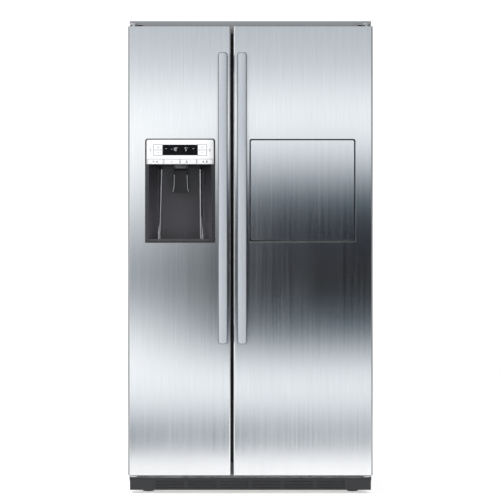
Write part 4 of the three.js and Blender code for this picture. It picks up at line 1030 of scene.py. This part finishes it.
def home_bar_frame():
    """Dark lining of the recess, its near black partly painted shade in the gap, and a bright rolled edge
    round the steel skin's opening.
    """
    outer = prism("y", bar_outline(), DOOR_FRONT + 1.3, BAR_SEAT - 0.2)
    inner = prism("y", bar_outline(1.4), DOOR_FRONT - PAST, BAR_SEAT + PAST)
    lining = soften(carved(outer, [inner]), 0.4, 2, 50)
    piece("home_bar_lining", lining, GROOVE, "fridge_door")
    lip = prism("y", bar_outline(-1.6), DOOR_FRONT - 0.7, DOOR_FRONT - 0.02)
    mouth = prism("y", bar_outline(), DOOR_FRONT - PAST, DOOR_FRONT + PAST)
    lip = soften(carved(lip, [mouth]), 0.3, 3, 50)
    piece("home_bar_lip", lip, STEEL, "fridge_door")


GRILLE_SCREEN = (-444, 15, 444, 54)
SCREEN_FRONT = -277.5
MULLION = ((-76.5, -226.6, 110), (-60.5, -225.1, 1720))


def grille_screen():
    """Dark dust screen behind the plinth grille's slots."""
    screen = prism("y", rounded(GRILLE_SCREEN, 2), SCREEN_FRONT, SCREEN_FRONT + 2)
    piece("grille_dust_screen", soften(screen, 0.4, 2, 50), BLACK, "cabinet")


def darken_door_gap():
    """Dark strip on the cabinet's front face, seen through the gap between the doors: painted shade that
    darkens the gap.
    """
    # painted shade: a black strip where the gap between the doors is in shade
    piece("mullion_shade_strip", soften(box(*MULLION), 0.4, 2), BLACK, "cabinet")


home_bar()
home_bar_frame()
grille_screen()
darken_door_gap()

# ------------ the rest of the appliance

# (body, or None where each node is its own, finish, slot, edge width, nodes)
REFINED = (
    ("cabinet", CABINET_PAINT, "cabinet_paint", 0.7, ("outer_shell",)),
    ("cabinet", ZINC, "galvanised_sheet", 0.5, ("back_panel",)),
    ("cabinet", WHITE, "liner_plastic", 0.8, ("freezer_liner", "fridge_liner")),
    ("cabinet", ZINC, "galvanised_sheet", 0.8, ("base_frame",)),
    ("cabinet", BLACK, "black_plastic", 0.7, ("kick_grille",)),
    ("cabinet", ZINC, "galvanised_sheet", 0.5, ("machine_cover",)),
    ("cabinet", CABINET_PAINT, "cabinet_paint", 1.0, ("hinge_cover",)),
    ("cabinet", COMPRESSOR, "compressor_paint", 1.0, ("compressor",)),
    ("cabinet", COPPER, "condenser_metal", 0.4, ("condenser",)),
    ("cabinet", COIL, "evaporator_metal", 0.4, ("evaporator",)),
    ("cabinet", WHITE, "liner_plastic", 0.8, ("freezer_duct_cover", "water_inlet_valve")),
    ("cabinet", WHITE, "liner_plastic", 1.2, ("ice_maker",)),
    ("cabinet", CLEAR, "clear_plastic", 1.0, ("ice_bin",)),
    ("fridge_door", CLEAR, "clear_plastic", 1.0, ("home_bar_bin",)),
    (None, BLACK, "black_plastic", 0.5, ("condenser_fan",)),
    (None, WHITE, "liner_plastic", 0.5, ("evaporator_fan",)),
    (None, ZINC, "galvanised_sheet", 0.4, ("ice_auger",)),
    (None, BLACK, "black_plastic", 0.5, ("rear_rollers",)),
    (None, BLACK, "black_plastic", 0.8, ("foot_left", "foot_right")),
    (None, CLEAR, "clear_plastic", 1.2, (
        "freezer_drawer_upper", "freezer_drawer_lower", "crisper_upper", "crisper_lower",
    )),
)

frame["nodes"]["insulation_foam"].data.materials[0] = FOAM
for body, finish, slot, width, nodes in REFINED:
    for node in nodes:
        refined(node, finish, body or node, width)

for end in ("top", "bottom"):
    for label in ("left", "right"):
        refined(f"{end}_hinge_{label}", ZINC, "cabinet", 0.6)
for room, count in (("freezer", 2), ("fridge", 3)):
    for i in range(1, count + 1):
        refined(f"{room}_door_rack_{i}", CLEAR, room + "_door", 1.0)


# (room's name, room, back of its shelves, levels of their undersides)
SHELVES = (
    ("freezer", FREEZER_ROOM, 233, (620, 985)),
    ("fridge", FRIDGE_ROOM, 282, (575, 950, 1320)),
)
SHELF_THICK = 6


def shelf(node, room, level, back):
    """Glass plate with a silver trim that wraps its front edge."""
    left, right = room[0] + 1.5, room[1] - 1.5
    top = level + SHELF_THICK
    plate = soften(box((left, -100, level), (right, back, top)), 0.8, 2)
    piece(node + "_glass", plate, GLASS, "cabinet", [node])
    front, slot, lip = -106, -99.7, -94
    outline = [
        (front, level - 6), (lip, level - 6), (lip, level - 0.3), (slot, level - 0.3),
        (slot, top + 0.3), (lip, top + 0.3), (lip, top + 4), (front, top + 4),
    ]
    trim = soften(prism("x", outline, left + 12, right - 12), 0.9, 2, 50)
    piece(node + "_trim", trim, SHELF_TRIM, "cabinet")


for name, room, back, levels in SHELVES:
    for i, level in enumerate(levels, 1):
        shelf(f"{name}_shelf_{i}", room, level, back)


# ------------ small parts


SCREW_RADIUS = 4.5
# (what they hold, depth, levels, positions across)
SCREWS = (
    ("back_panel", 347.8, (330, 780, 1230, 1690), (-430, 430)),
    ("machine_cover", 348.3, (60, 270), (-430, -140, 140, 430)),
)
LAMP_HALF = 70
LAMP_DEPTH = (-60, 10)
LAMP_LEVELS = (1691, 1699.7)


def screw(name, centre):
    """Pan head screw with a cross slot, its head standing out behind the cabinet."""
    radius, height = SCREW_RADIUS, SCREW_RADIUS * 0.55
    profile = [
        (radius, 0), (radius, height * 0.35), (radius * 0.85, height * 0.75),
        (radius * 0.5, height), (0.05, height),
    ]
    slots = []
    for x, z in ((radius * 0.12, radius * 0.6), (radius * 0.6, radius * 0.12)):
        slot = prism("y", [(-x, -z), (x, -z), (x, z), (-x, z)], height * 0.55, height * 1.5)
        bmesh.ops.translate(slot, vec=centre, verts=slot.verts)
        slots.append(slot)
    head = carved(turned(profile, centre, "y", 20), slots)
    piece(name, head, ZINC, "cabinet", smooth=30)


def back_screws():
    number = 0
    for held, y, levels, columns in SCREWS:
        for z in levels:
            for x in columns:
                number += 1
                screw(f"{held}_screw_{number}", (x, y, z))


def room_lamps():
    """Frosted lamp covers under both compartments' ceilings."""
    for name, room in (("freezer", FREEZER_ROOM), ("fridge", FRIDGE_ROOM)):
        outline = rounded(about(sum(room) / 2, LAMP_HALF, LAMP_DEPTH), 12)
        cover = soften(prism("z", outline, *LAMP_LEVELS), 3.5, 3, 50)
        piece(name + "_lamp_cover", cover, LAMP, "cabinet")


back_screws()
room_lamps()

# ------------ stage: floor, light and camera

EYE = 0.908
CAMERA_X = -0.0017
CAMERA_DISTANCE = 8.0
SENSOR = 36
VIEW_WIDTH = 1.860
CARD_DISTANCE = 1.6
CARD_HALF = 1.3
CARD_COVERS = 1.85
CARD_TURN = (-0.60, -0.06)
CARD_STRENGTH = 1.32
FLOOR_RADIUS = 9

# (name, position, target, size, power)
LIGHTS = (
    ("key_light", (-2.6, -2.4, 3.2), (0, 0, 0.9), 1.6, 45),
    ("fill_light", (2.6, -3.4, 1.6), (-0.3, -0.3, 1.1), 1.4, 60),
    ("back_light", (2.4, 2.8, 3.0), (0, 0, 0.9), 1.6, 60),
)


def grey(value, tint):
    """Linear colour from a display grey level, cooler by the tint."""
    def linear(v):
        v = max(0.0, min(1.0, v / 255))
        return v / 12.92 if v <= 0.04045 else ((v + 0.055) / 1.055) ** 2.4
    return (linear(value - tint), linear(value), linear(value + tint * 0.8), 1)


# what the doors mirror, as (height on the door, grey level): bright above and below a slate band
LEFT_LIGHT = (
    (0.00, 70), (0.25, 146), (0.32, 220), (0.45, 252), (0.54, 252), (0.63, 230), (0.72, 194), (0.81, 170),
    (0.90, 186), (1.03, 226), (1.17, 252), (1.34, 255), (1.48, 242), (1.57, 214), (1.74, 190),
)
RIGHT_LIGHT = (
    (0.00, 90), (0.25, 154), (0.32, 216), (0.41, 240), (0.50, 200), (0.59, 106), (0.72, 16), (0.81, 2),
    (0.90, 5), (1.03, 32), (1.12, 94), (1.21, 174), (1.30, 222), (1.42, 240), (1.57, 205), (1.74, 182),
)


def card_height(door_height):
    """Where on the card the camera sees a height on the door mirrored."""
    return EYE + (1 + CARD_DISTANCE / CAMERA_DISTANCE) * (door_height - EYE)


def graded_glow(low, high):
    """The card's glow: one run of greys on its left, another on its right."""
    made = bpy.data.materials.new("light_card_glow")
    made.use_nodes = True
    tree = made.node_tree
    tree.nodes.clear()
    link = tree.links.new
    split = add(tree, "SeparateXYZ")
    link(add(tree, "TexCoord").outputs["Object"], split.inputs["Vector"])
    height = add(tree, "MapRange", From_Min=low, From_Max=high)
    link(split.outputs["Z"], height.inputs["Value"])
    across = add(tree, "MapRange", From_Min=CARD_TURN[0], From_Max=CARD_TURN[1])
    link(split.outputs["X"], across.inputs["Value"])
    mix = add(tree, "Mix")
    mix.data_type = "RGBA"
    link(across.outputs["Result"], mix.inputs["Factor"])
    for stops, side in ((LEFT_LIGHT, "A"), (RIGHT_LIGHT, "B")):
        ramp = add(tree, "ValToRGB")
        ramp.color_ramp.interpolation = "CARDINAL"
        elements = ramp.color_ramp.elements
        while len(elements) < len(stops):
            elements.new(0.5)
        for element, (door_height, level) in zip(elements, stops):
            element.position = (card_height(door_height) - low) / (high - low)
            element.color = grey(level, 3 + 13 * (1 - level / 255))
        link(height.outputs["Result"], ramp.inputs["Fac"])
        link(ramp.outputs["Color"], mix.inputs[side])
    light = add(tree, "Emission", Strength=CARD_STRENGTH)
    link(mix.outputs["Result"], light.inputs["Color"])
    link(light.outputs["Emission"], add(tree, "OutputMaterial").inputs["Surface"])
    return made


def light_card():
    """A graded light panel in front of the doors, seen only in reflections."""
    low, high = card_height(0.0), card_height(CARD_COVERS)
    y, half = DOOR_FRONT * MM - CARD_DISTANCE, CARD_HALF
    mesh = bpy.data.meshes.new("light_card")
    corners = [(-half, y, low), (half, y, low), (half, y, high), (-half, y, high)]
    mesh.from_pydata(corners, [], [(0, 3, 2, 1)])
    mesh.materials.append(graded_glow(low, high))
    card = linked("light_card", mesh)
    card.visible_camera = False
    card.visible_diffuse = False
    card.visible_shadow = False
    card.visible_transmission = False


def floor():
    """Pale floor that meets the white background without an edge."""
    paint = Finish(
        "pale_floor", Base_Color=(0.86, 0.86, 0.86, 1), Roughness=0.9, Specular_IOR_Level=0.1,
        Emission_Color=(1, 1, 1, 1), Emission_Strength=0.40,
    )
    bm = bmesh.new()
    bmesh.ops.create_circle(bm, cap_ends=True, radius=FLOOR_RADIUS, segments=96)
    mesh = mesh_of("floor", bm)
    mesh.materials.append(paint.material)
    linked("floor", mesh)


def area_light(name, place_at, target, size, power):
    data = bpy.data.lights.new(name, "AREA")
    data.shape = "DISK"
    data.size = size
    data.energy = power
    obj = linked(name, data)
    obj.location = place_at
    direction = Vector(target) - Vector(place_at)
    obj.rotation_euler = direction.to_track_quat("-Z", "Y").to_euler()
    obj.visible_glossy = False


def world():
    """White all round, stronger on the left; the camera sees it evenly white."""
    made = bpy.data.worlds.new("studio")
    bpy.context.scene.world = made
    made.use_nodes = True
    tree = made.node_tree
    link = tree.links.new
    background = tree.nodes["Background"]
    background.inputs["Color"].default_value = (1, 1, 1, 1)
    split = add(tree, "SeparateXYZ")
    link(add(tree, "TexCoord").outputs["Generated"], split.inputs["Vector"])
    side = add(tree, "MapRange", From_Min=-1, From_Max=1, To_Min=1.24, To_Max=0.18)
    link(split.outputs["X"], side.inputs["Value"])
    level = add(tree, "Mix", B=1.05)
    link(add(tree, "LightPath").outputs["Is Camera Ray"], level.inputs["Factor"])
    link(side.outputs["Result"], level.inputs["A"])
    link(level.outputs["Result"], background.inputs["Strength"])


def camera():
    data = bpy.data.cameras.new("camera")
    data.sensor_width = SENSOR
    data.lens = SENSOR * CAMERA_DISTANCE / VIEW_WIDTH
    obj = linked("camera", data)
    obj.location = (CAMERA_X, DOOR_FRONT * MM - CAMERA_DISTANCE, EYE)
    obj.rotation_euler = (math.pi / 2, 0, 0)
    bpy.context.scene.camera = obj


world()
floor()
light_card()
for light in LIGHTS:
    area_light(*light)
camera()
bpy.context.scene.view_settings.view_transform = "Standard"
